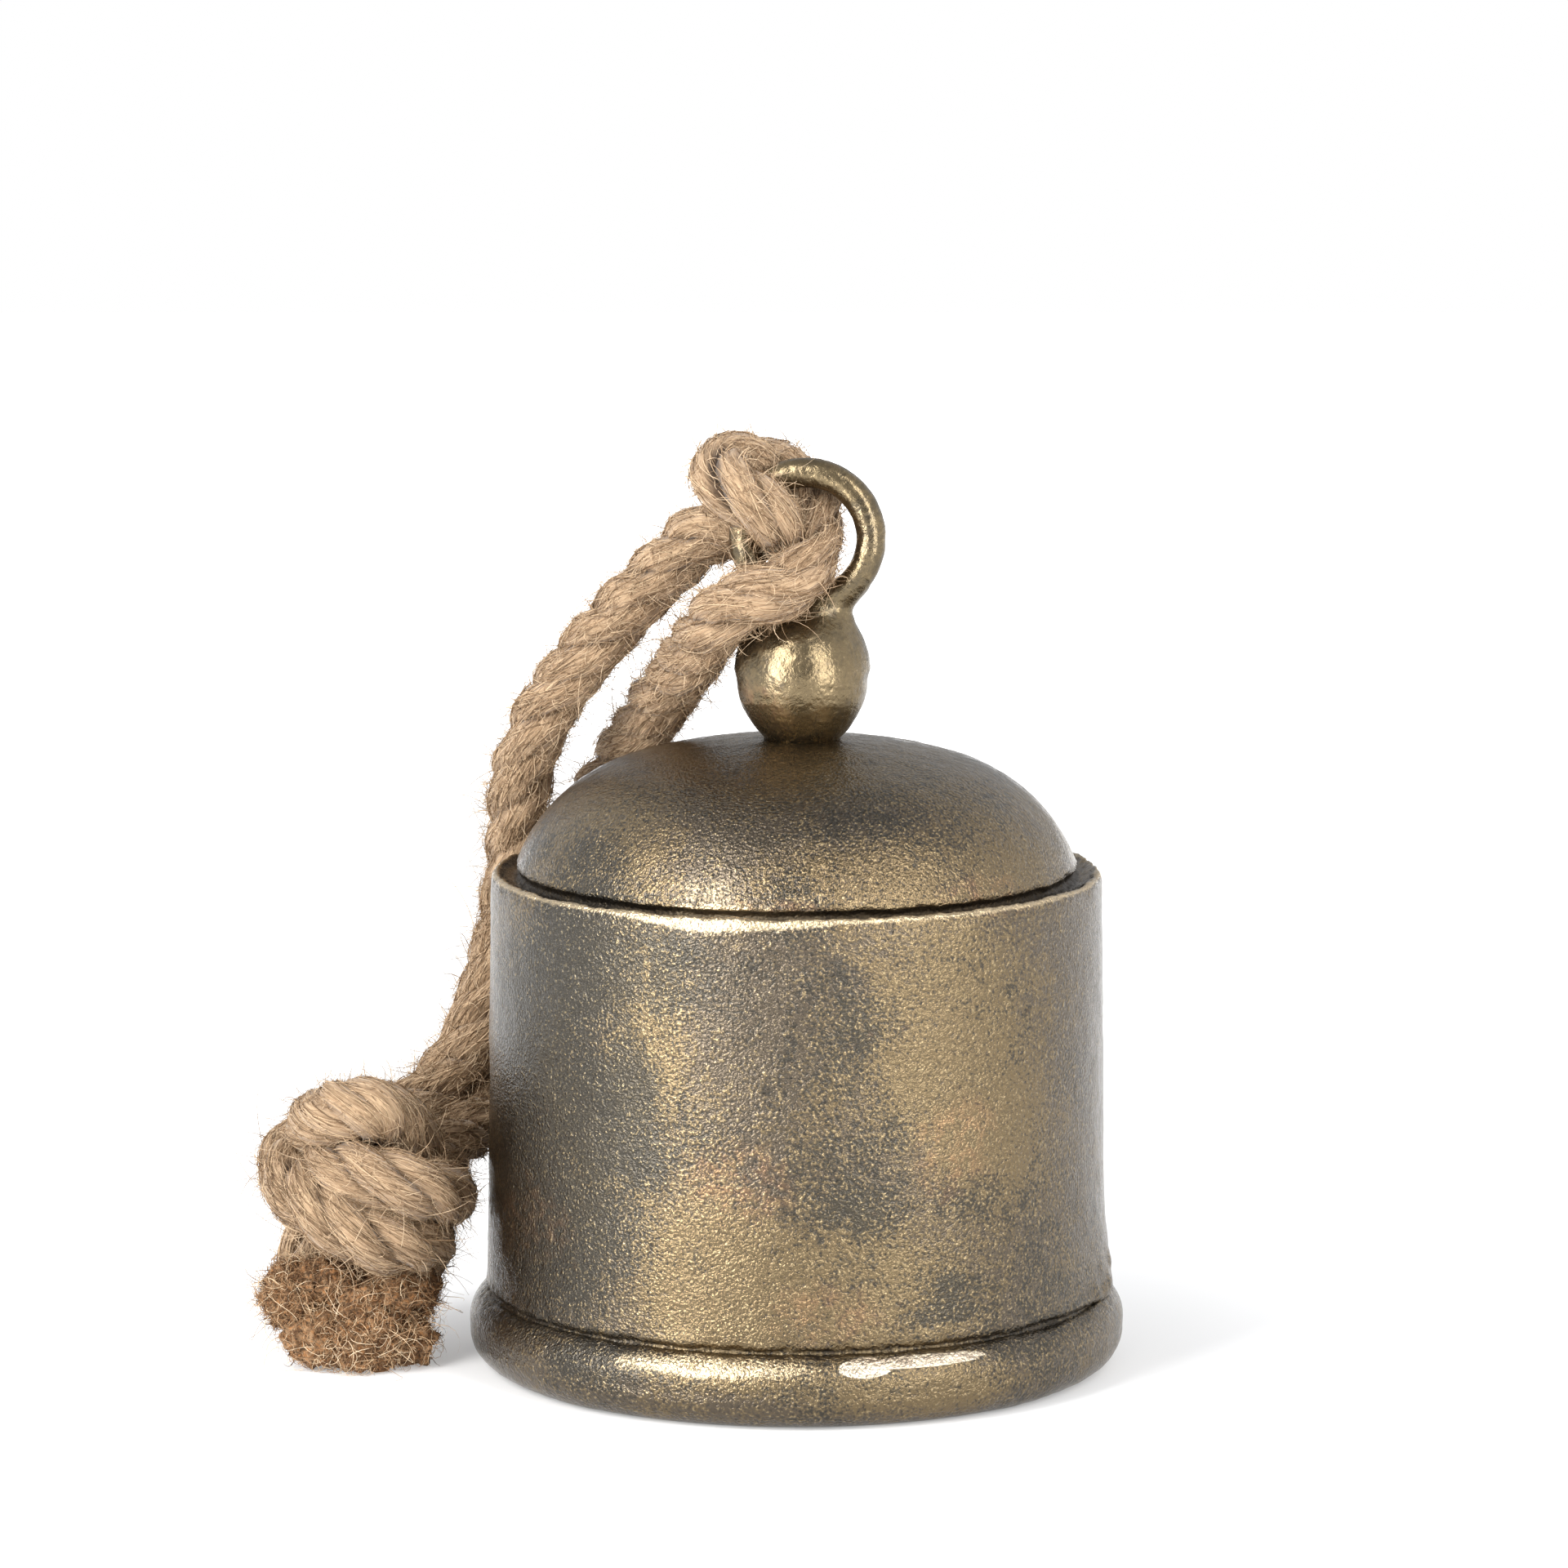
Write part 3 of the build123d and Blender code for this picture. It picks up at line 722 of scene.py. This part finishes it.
LOBES_LEFT = [
    ((-115.0, -8, 15.5), (7.6, 7.5, 8.0), 0.3, 6), ((-107.5, -9, 19), (7.0, 6, 6.0), -0.2, 5),
    ((-110.0, -13, 7.5), (7.5, 7.0, 7.0), 0.1, 5), ((-106, 0, 20), (7.5, 8, 6.0), 0.0, 5),
]
LOBES_RIGHT = [
    ((-99.0, -14, 6.4), (10.5, 7.5, 7.2), 0.0, 6), ((-92.5, -8, 16.5), (7.0, 7.5, 6.5), 0.2, 5),
    ((-87.0, -6, 17.0), (4.6, 5.0, 6.0), 0.5, 5), ((-88.2, -10, 5.2), (4.8, 6.0, 5.2), -0.2, 5),
    ((-99.5, -12, 14.0), (7.0, 6.5, 6.5), 0.0, 5),
]
frayed_left = frayed_end("frayed_left", LOBES_LEFT, 3)
frayed_right = frayed_end("frayed_right", LOBES_RIGHT, 13)
SHORT_HAIR = ((1.5, 5.5), (0.8, 4.0), 0.7, (0.06, 0.13))
LONG_CURLS = ((6.0, 14.0), (1.0, 3.6), 1.1, (0.06, 0.11))
fuzz_left = frayed_fuzz("frayed_left_fuzz", frayed_left, LOBES_LEFT, 2600, 31, *SHORT_HAIR)
fuzz_right = frayed_fuzz("frayed_right_fuzz", frayed_right, LOBES_RIGHT, 2800, 32, *SHORT_HAIR)
curls_left = frayed_fuzz("frayed_left_curls", frayed_left, LOBES_LEFT, 420, 33, *LONG_CURLS)
curls_right = frayed_fuzz("frayed_right_curls", frayed_right, LOBES_RIGHT, 520, 34, *LONG_CURLS)


# ---------- materials
class Nodes:
    """Short names for building a material's nodes."""

    def __init__(self, name):
        self.material = bpy.data.materials.new(name)
        self.material.use_nodes = True
        self.tree = self.material.node_tree
        self.shader = self.tree.nodes["Principled BSDF"]
        self.place = self.add("ShaderNodeTexCoord").outputs["Object"]

    def add(self, kind, **settings):
        node = self.tree.nodes.new(kind)
        for key, value in settings.items():
            setattr(node, key, value)
        return node

    def put(self, socket, value):
        if isinstance(value, bpy.types.NodeSocket):
            self.tree.links.new(value, socket)
        else:
            socket.default_value = value

    def fill(self, node, **values):
        for key, value in values.items():
            self.put(node.inputs[key.replace("_", " ")], value)

    def noise(self, scale, detail, roughness, distortion=0.0, vector=None, stretch=None):
        node = self.add("ShaderNodeTexNoise")
        where = vector or self.place
        if stretch:
            mapping = self.add("ShaderNodeMapping")
            self.fill(mapping, Vector=where, Scale=stretch)
            where = mapping.outputs["Vector"]
        self.fill(node, Vector=where, Scale=scale, Detail=detail, Roughness=roughness, Distortion=distortion)
        return node.outputs["Fac"]

    def ramp(self, value, low, high, out_low=0.0, out_high=1.0):
        node = self.add("ShaderNodeMapRange", interpolation_type="SMOOTHSTEP")
        self.fill(node, Value=value, From_Min=low, From_Max=high, To_Min=out_low, To_Max=out_high)
        return node.outputs["Result"]

    def mix(self, factor, a, b):
        node = self.add("ShaderNodeMix", data_type="RGBA")
        self.put(node.inputs[0], factor)
        self.put(node.inputs[6], a if not isinstance(a, tuple) else (*a, 1.0))
        self.put(node.inputs[7], b if not isinstance(b, tuple) else (*b, 1.0))
        return node.outputs[2]

    def attribute(self, name):
        return self.add("ShaderNodeAttribute", attribute_name=name).outputs["Fac"]

    def math(self, how, a, b):
        node = self.add("ShaderNodeMath", operation=how)
        self.put(node.inputs[0], a)
        self.put(node.inputs[1], b)
        return node.outputs[0]

    def vector(self, how, *values):
        node = self.add("ShaderNodeVectorMath", operation=how)
        for socket, value in zip(node.inputs, values):
            self.put(socket, value)
        return node.outputs["Value" if how == "LENGTH" else "Vector"]

    def centred(self, value, amount):
        """A noise value moved to have 0 in its middle and made stronger."""
        return self.math("MULTIPLY", self.math("SUBTRACT", value, 0.5), amount)

    def bump(self, height, strength, distance, onto=None):
        node = self.add("ShaderNodeBump")
        self.fill(node, Height=height, Strength=strength, Distance=distance)
        if onto:
            self.put(node.inputs["Normal"], onto)
        return node.outputs["Normal"]

    def mark(self, centre, size, wobble):
        """1 inside an ellipsoid with a ragged edge, 0 outside; centre and size in millimetres."""
        offset = self.vector("SUBTRACT", self.place, [c * MM for c in centre])
        reach = self.vector("DIVIDE", offset, [c * MM for c in size])
        return self.ramp(self.math("ADD", self.vector("LENGTH", reach), wobble), 1.45, 0.45)

    def finish(self, **sockets):
        self.fill(self.shader, **sockets)
        return self.material


COPPER = (0.40, 0.215, 0.11)
BRIGHT_FLECK, DARK_FLECK = (0.45, 0.355, 0.205), (0.045, 0.04, 0.035)
BARE_METAL = (0.44, 0.36, 0.27), (0.66, 0.56, 0.42)
WEAR_AND_HIGHLIGHT_COLOUR = (0.52, 0.41, 0.26)
GRIME_AND_CREVICE_SHADE = (0.022, 0.017, 0.012)
MARK_STRENGTH, PAINTED_HIGHLIGHT_STRENGTH = 0.20, 3.2


def cast_brass(name, brown, gold, blue, marks, grain_size, grain_depth, rough_low, rough_high, flecks):
    """Tarnished cast brass: clouds of colour broken up by the grain, bright wear on its peaks; painted
    highlight and shade.

    marks has, for each colour and for the painted highlights, the centres and sizes of its patches in
    millimetres."""
    m = Nodes(name)
    cloud = m.noise(26.0, 5.0, 0.6, 0.4)
    other = m.noise(38.0, 5.0, 0.62, 0.3, stretch=(1.0, 1.0, 0.6))
    coarse = m.noise(330.0, 4.0, 0.62, 0.3)
    grain = m.noise(grain_size, 2.5, 0.5, 0.2)
    fine = m.noise(3200.0, 2.0, 0.6)
    peaks = m.centred(grain, 0.9 * flecks)
    blots = m.centred(coarse, 0.8)
    ragged = m.math("ADD", m.centred(other, 1.6), m.centred(coarse, 1.2))
    masks = {"blue": m.centred(cloud, 1.0), "gold": m.centred(other, 1.0), "copper": -0.1,
             "bright": 0.0, "painted_highlight": 0.0}
    for kind, places in marks.items():
        for centre, size in places:
            if kind == "bright":
                masks[kind] = m.math("MAXIMUM", masks[kind], m.mark(centre, size, 0.0))
            else:
                spot = m.math("MULTIPLY", m.mark(centre, size, ragged), MARK_STRENGTH)
                masks[kind] = m.math("ADD", masks[kind], spot)
    high = m.math("ADD", blots, peaks)
    low = m.math("SUBTRACT", blots, peaks)
    metal = m.mix(m.ramp(m.math("ADD", masks["gold"], high), -0.08, 0.20), brown, gold)
    metal = m.mix(m.ramp(m.math("ADD", masks["blue"], low), 0.02, 0.24, 0.0, 0.85), metal, blue)
    metal = m.mix(m.ramp(m.math("ADD", masks["copper"], blots), 0.0, 0.3, 0.0, 0.32), metal, COPPER)
    metal = m.mix(m.ramp(grain, 0.58, 0.72, 0.0, 0.45 * flecks), metal, BRIGHT_FLECK)
    metal = m.mix(m.ramp(grain, 0.44, 0.28, 0.0, 0.6 * flecks), metal, DARK_FLECK)
    rough = m.ramp(m.math("ADD", other, m.centred(coarse, 1.0)), 0.3, 0.7, rough_low, rough_high)
    scratch = m.noise(700.0, 3.0, 0.6, 0.0, stretch=(0.25, 0.25, 2.0))
    bright = m.ramp(m.math("ADD", masks["bright"], m.centred(scratch, 0.7)), 0.38, 0.52)
    metal = m.mix(bright, metal, m.mix(m.ramp(scratch, 0.4, 0.65), *BARE_METAL))
    wear_and_highlight = m.attribute("wear_and_highlight")
    wear_and_highlight = m.math("ADD", wear_and_highlight, m.math("MULTIPLY", masks["painted_highlight"], PAINTED_HIGHLIGHT_STRENGTH))
    broken = m.math("ADD", blots, m.math("MULTIPLY", peaks, 0.8))
    # wear and painted highlight: brighter on the lip's round, the bead's crest and where the highlight marks
    # are
    metal = m.mix(m.ramp(m.math("ADD", wear_and_highlight, broken), 0.28, 0.85, 0.0, 0.9), metal, WEAR_AND_HIGHLIGHT_COLOUR)
    # painted shade in the crevice and groove, and grime blots all over
    hollow = m.attribute("hollow")
    metal = m.mix(m.ramp(m.math("ADD", hollow, blots), 0.1, 0.9, 0.0, 0.85), metal, GRIME_AND_CREVICE_SHADE)
    rough = m.math("ADD", rough, m.math("MULTIPLY", hollow, 0.3))
    normal = m.bump(coarse, 0.7, 0.30 * MM)
    normal = m.bump(grain, 1.0, grain_depth, normal)
    normal = m.bump(fine, 0.3, 0.05 * MM, normal)
    return m.finish(Base_Color=metal, Metallic=0.96, Roughness=rough, Normal=normal)


BELL_MARKS = {
    "blue": [((4, -70, 92), (20, 34, 20)), ((-38, -58, 104), (18, 30, 14)), ((-60, -38, 66), (18, 24, 36)),
             ((-34, -62, 68), (18, 24, 14)), ((13, -69, 48), (9, 20, 6)), ((38, -60, 51), (9, 20, 6)),
             ((36, -61, 30), (9, 20, 4)), ((34, -63, 24.3), (11, 12, 2.5)), ((-42, -46, 119), (15, 24, 9)),
             ((2, -62, 117), (9, 20, 7)), ((-34, -62, 12), (26, 20, 6)), ((-50, -48, 60), (20, 26, 46))],
    # the gold patch at (-33, -62, 86) is partly a painted highlight, a bright strip down the wall's upper
    # left
    "gold": [((-33, -62, 86), (9, 20, 22)), ((34, -61, 84), (18, 24, 30)), ((6, -70, 30), (34, 24, 18)),
             ((46, -54, 62), (14, 20, 18)), ((-20, -66, 34), (16, 20, 20)), ((20, -58, 120), (26, 20, 8)),
             ((-8, -70, 14), (26, 20, 5)), ((30, -70, 8), (26, 20, 5)), ((46, -32, 127), (24, 30, 14)),
             ((-46, -30, 128), (20, 24, 12)), ((0, -8, 144), (44, 44, 8))],
    "copper": [((9, -70, 26), (18, 20, 11)), ((40, -48, 116), (20, 20, 5)), ((36, -60, 62), (12, 20, 14)),
               ((-14, -69, 56), (16, 20, 12)), ((-2, -62, 114.5), (16, 20, 3)),
               ((-50, -30, 40), (20, 24, 14))],
    # painted highlights: the lip and the dome low at the front left, the dome low at the front, and the
    # bead's top
    "painted_highlight": [((-17, -66, 113.2), (26, 14, 2.0)), ((-28, -71, 119), (20, 14, 8)),
               ((6, -76, 119), (14, 14, 6)), ((-19, -71, 14.3), (28, 12, 2.2))],
    "bright": [((15, -70.3, 14.2), (6, 12, 2.1)), ((28, -68, 14.9), (17, 12, 1.25))],
}
CROWN_MARKS = {
    "copper": [((-8, -8, 152), (14, 14, 8))],
    "gold": [((0, -8, 150), (20, 20, 8)), ((6, -10, 166), (12, 12, 12)), ((4, 0, 198), (26, 14, 20))],
}
bell_metal = cast_brass("cast_brass_rough", (0.102, 0.082, 0.060), (0.160, 0.118, 0.066),
                        (0.052, 0.048, 0.040), BELL_MARKS, 1450.0, 0.42 * MM, 0.13, 0.23, 1.0)
crown_metal = cast_brass("cast_brass_smooth", (0.110, 0.088, 0.057), (0.172, 0.130, 0.074),
                         (0.078, 0.065, 0.047), CROWN_MARKS, 1000.0, 0.15 * MM, 0.22, 0.30, 0.3)


SHADE_BETWEEN_STRANDS = (0.050, 0.027, 0.013)


def rope_fibre(name, pale, tan, brown):
    """The strands: fine fibre along the yarns, and painted shade where they meet."""
    m = Nodes(name)
    uv = m.add("ShaderNodeUVMap", uv_map="fibre").outputs["UV"]
    depth = m.attribute("depth")
    fibre = m.noise(2600.0, 3.0, 0.65, 0.8, vector=uv, stretch=(1.0, 0.09, 1.0))
    bundle = m.noise(950.0, 3.0, 0.6, 0.6, vector=uv, stretch=(1.0, 0.16, 1.0))
    cloud = m.noise(90.0, 4.0, 0.6)
    colour = m.mix(m.ramp(fibre, 0.36, 0.60), tan, pale)
    colour = m.mix(m.ramp(bundle, 0.48, 0.70, 0.0, 0.7), colour, brown)
    colour = m.mix(m.ramp(fibre, 0.40, 0.28, 0.0, 0.6), colour, brown)
    colour = m.mix(m.ramp(cloud, 0.42, 0.72, 0.0, 0.4), colour, tan)
    # painted shade, darker where a strand lies deep between the others
    colour = m.mix(m.ramp(depth, 0.92, 0.66, 0.0, 0.95), colour, SHADE_BETWEEN_STRANDS)
    height = m.math("ADD", fibre, m.math("MULTIPLY", bundle, -1.2))
    normal = m.bump(height, 1.0, 0.40 * MM)
    return m.finish(Base_Color=colour, Roughness=0.85, Sheen_Weight=0.25, Sheen_Roughness=0.5,
                    Specular_IOR_Level=0.25, Normal=normal)


def hair_fibre(name, pale, tan, brown):
    """Single hairs, each with its own shade."""
    m = Nodes(name)
    shade = m.attribute("shade")
    blotch = m.noise(900.0, 1.0, 0.5)
    shade = m.math("ADD", shade, m.centred(blotch, 0.6))
    colour = m.mix(m.ramp(shade, 0.22, 0.50), brown, tan)
    colour = m.mix(m.ramp(shade, 0.50, 0.88), colour, pale)
    return m.finish(Base_Color=colour, Roughness=0.6, Specular_IOR_Level=0.35)


def frayed_fibre(name):
    """The crumbly lumps under the hairs of the frayed ends."""
    m = Nodes(name)
    clump = m.noise(420.0, 4.0, 0.65, 0.6)
    spot = m.noise(1100.0, 3.0, 0.65, 0.4)
    fine = m.noise(3300.0, 2.0, 0.6, 1.0)
    wide = m.noise(130.0, 3.0, 0.6)
    colour = m.mix(m.ramp(clump, 0.40, 0.60), (0.115, 0.058, 0.026), (0.29, 0.180, 0.098))
    colour = m.mix(m.ramp(spot, 0.5, 0.62, 0.0, 0.8), colour, (0.36, 0.17, 0.066))
    colour = m.mix(m.ramp(spot, 0.46, 0.36, 0.0, 0.85), colour, (0.036, 0.020, 0.010))
    colour = m.mix(m.ramp(wide, 0.52, 0.64, 0.0, 0.6), colour, (0.060, 0.030, 0.014))
    height = m.math("ADD", spot, m.math("MULTIPLY", fine, 0.6))
    return m.finish(Base_Color=colour, Roughness=0.9, Specular_IOR_Level=0.2,
                    Normal=m.bump(height, 0.9, 0.5 * MM))


def plain_steel(name, colour, rough):
    m = Nodes(name)
    wide = m.noise(120.0, 4.0, 0.6)
    fine = m.noise(1500.0, 3.0, 0.6)
    shade = m.mix(m.ramp(wide, 0.35, 0.7), colour, tuple(c * 0.62 for c in colour))
    return m.finish(Base_Color=shade, Metallic=1.0, Roughness=m.ramp(fine, 0.2, 0.8, rough, rough + 0.2),
                    Normal=m.bump(fine, 0.25, 0.1 * MM))


def dull_inside(name):
    """The inside of the casting: dull and brown, with darker stains."""
    m = Nodes(name)
    stain = m.noise(45.0, 5.0, 0.6, 0.5)
    grain = m.noise(900.0, 3.0, 0.6)
    colour = m.mix(m.ramp(stain, 0.38, 0.66), (0.40, 0.30, 0.185), (0.22, 0.165, 0.11))
    colour = m.mix(m.ramp(grain, 0.52, 0.70, 0.0, 0.5), colour, (0.50, 0.39, 0.25))
    return m.finish(Base_Color=colour, Metallic=0.35, Roughness=m.ramp(stain, 0.3, 0.7, 0.5, 0.68),
                    Normal=m.bump(grain, 0.6, 0.3 * MM))


inside_metal = dull_inside("cast_brass_inside")
rope_material = rope_fibre("jute_strand", (0.42, 0.292, 0.176), (0.26, 0.166, 0.092), (0.115, 0.066, 0.031))
hair_material = hair_fibre("jute_hair", (0.54, 0.39, 0.245), (0.32, 0.208, 0.116), (0.14, 0.082, 0.040))
fuzz_material = hair_fibre("jute_fuzz", (0.54, 0.40, 0.26), (0.38, 0.26, 0.155), (0.22, 0.135, 0.070))
frayed_material = frayed_fibre("jute_frayed")
frayed_hair = hair_fibre("jute_frayed_hair", (0.38, 0.235, 0.122), (0.26, 0.130, 0.054), (0.10, 0.047, 0.020))
curl_material = hair_fibre("jute_curls", (0.74, 0.58, 0.39), (0.55, 0.38, 0.22), (0.34, 0.20, 0.10))
steel = plain_steel("dull_steel", (0.50, 0.49, 0.46), 0.32)
iron = plain_steel("clapper_iron", (0.16, 0.15, 0.14), 0.42)


def dress(piece, material):
    piece.data.materials.clear()
    piece.data.materials.append(material)


def dress_node(name, material):
    for slot in nodes[name].material_slots:
        slot.material = material


bell.data.materials[0] = bell_metal
bell.data.materials[1] = inside_metal
dress(crown, crown_metal)
ROPE_PIECES = (
    ((rope_a, rope_b_piece, knot_a, knot_b), rope_material),
    ((fibres_a, fibres_b, fibres_knot_a, fibres_knot_b), hair_material),
    ((fuzz_a, fuzz_b, fuzz_knot_a, fuzz_knot_b, wisps_a, wisps_b, wisps_knot), fuzz_material),
    ((frayed_left, frayed_right), frayed_material),
    ((fuzz_left, fuzz_right), frayed_hair),
    ((curls_left, curls_right), curl_material),
)
for pieces, material in ROPE_PIECES:
    for piece in pieces:
        dress(piece, material)
for name in ("crown_stud", "crown_washer", "crown_nut", "hanger_eye", "clapper_link", "clapper_stem",
             "clapper_ball_nut"):
    dress_node(name, steel)
dress_node("clapper_ball", iron)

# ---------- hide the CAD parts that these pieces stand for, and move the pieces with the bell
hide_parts("bell_shell")
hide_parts("crown_ring")
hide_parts("rope_leg_a", "rope_hitch")
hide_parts("rope_leg_b")
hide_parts("rope_knot")
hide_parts("rope_end_a")
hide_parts("rope_end_b")
for piece in (bell, crown):
    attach(piece, "bell")
for pieces, _ in ROPE_PIECES:
    for piece in pieces:
        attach(piece, "bell")

# ---------- floor, world and lights
HALF = 3  # metres from the floor's middle to its sides

floor = add_object("floor", [(-HALF, -HALF, 0), (HALF, -HALF, 0), (HALF, HALF, 0), (-HALF, HALF, 0)],
                   [(0, 1, 2, 3)])
floor_nodes = Nodes("white_floor")
from_middle = floor_nodes.vector("LENGTH", floor_nodes.place)
# it glows a little more outside the bell's shadow, and more again behind the lights
near_glow = floor_nodes.ramp(from_middle, 0.08, 0.20, 0.26, 0.49)
far_glow = floor_nodes.ramp(from_middle, 0.75, 1.1, 0.0, 0.9)
floor_nodes.finish(Base_Color=(0.64, 0.64, 0.64, 1.0), Roughness=0.9, Emission_Color=(1.0, 1.0, 1.0, 1.0),
                   Emission_Strength=floor_nodes.math("ADD", near_glow, far_glow))
dress(floor, floor_nodes.material)

# the camera sees a white background, and the light comes mostly from the two sides
SIDE_LIGHT, ALL_ROUND_LIGHT = 1.05, 0.48

world = bpy.data.worlds.new("studio")
world.use_nodes = True
sky = world.node_tree.nodes
background = sky["Background"]
background.inputs["Color"].default_value = (1.0, 1.0, 1.0, 1.0)
background.inputs["Strength"].default_value = 1.0
dim = sky.new("ShaderNodeBackground")
dim.inputs["Color"].default_value = (0.97, 0.98, 1.0, 1.0)
around = sky.new("ShaderNodeTexCoord")
split = sky.new("ShaderNodeSeparateXYZ")
sideways = sky.new("ShaderNodeMath")
sideways.operation = "ABSOLUTE"
side_light = sky.new("ShaderNodeMath")
side_light.operation = "MULTIPLY_ADD"
side_light.inputs[1].default_value = SIDE_LIGHT
side_light.inputs[2].default_value = ALL_ROUND_LIGHT
chooser = sky.new("ShaderNodeMixShader")
ray = sky.new("ShaderNodeLightPath")
for start, end in (
        (around.outputs["Generated"], split.inputs[0]), (split.outputs["X"], sideways.inputs[0]),
        (sideways.outputs[0], side_light.inputs[0]), (side_light.outputs[0], dim.inputs["Strength"]),
        (ray.outputs["Is Camera Ray"], chooser.inputs[0]), (dim.outputs[0], chooser.inputs[1]),
        (background.outputs[0], chooser.inputs[2]),
        (chooser.outputs[0], sky["World Output"].inputs["Surface"])):
    world.node_tree.links.new(start, end)
scene.world = world


def softbox(name, azimuth, distance, width, height, power):
    """An upright area light on the floor; azimuth 0 is the viewer's side, + to the right."""
    data = bpy.data.lights.new(name, "AREA")
    data.shape = "RECTANGLE"
    data.size, data.size_y, data.energy = width, height, power
    light = bpy.data.objects.new(name, data)
    a = math.radians(azimuth)
    away = Vector((math.sin(a), -math.cos(a), 0.0))
    light.location = away * distance + Vector((0, 0, height / 2))
    light.rotation_euler = (-away).to_track_quat("-Z", "Y").to_euler()
    scene.collection.objects.link(light)


softbox("left_box", -44, 1.0, 0.42, 1.5, 27.0)
softbox("right_box", 38, 1.0, 0.32, 1.5, 13.0)
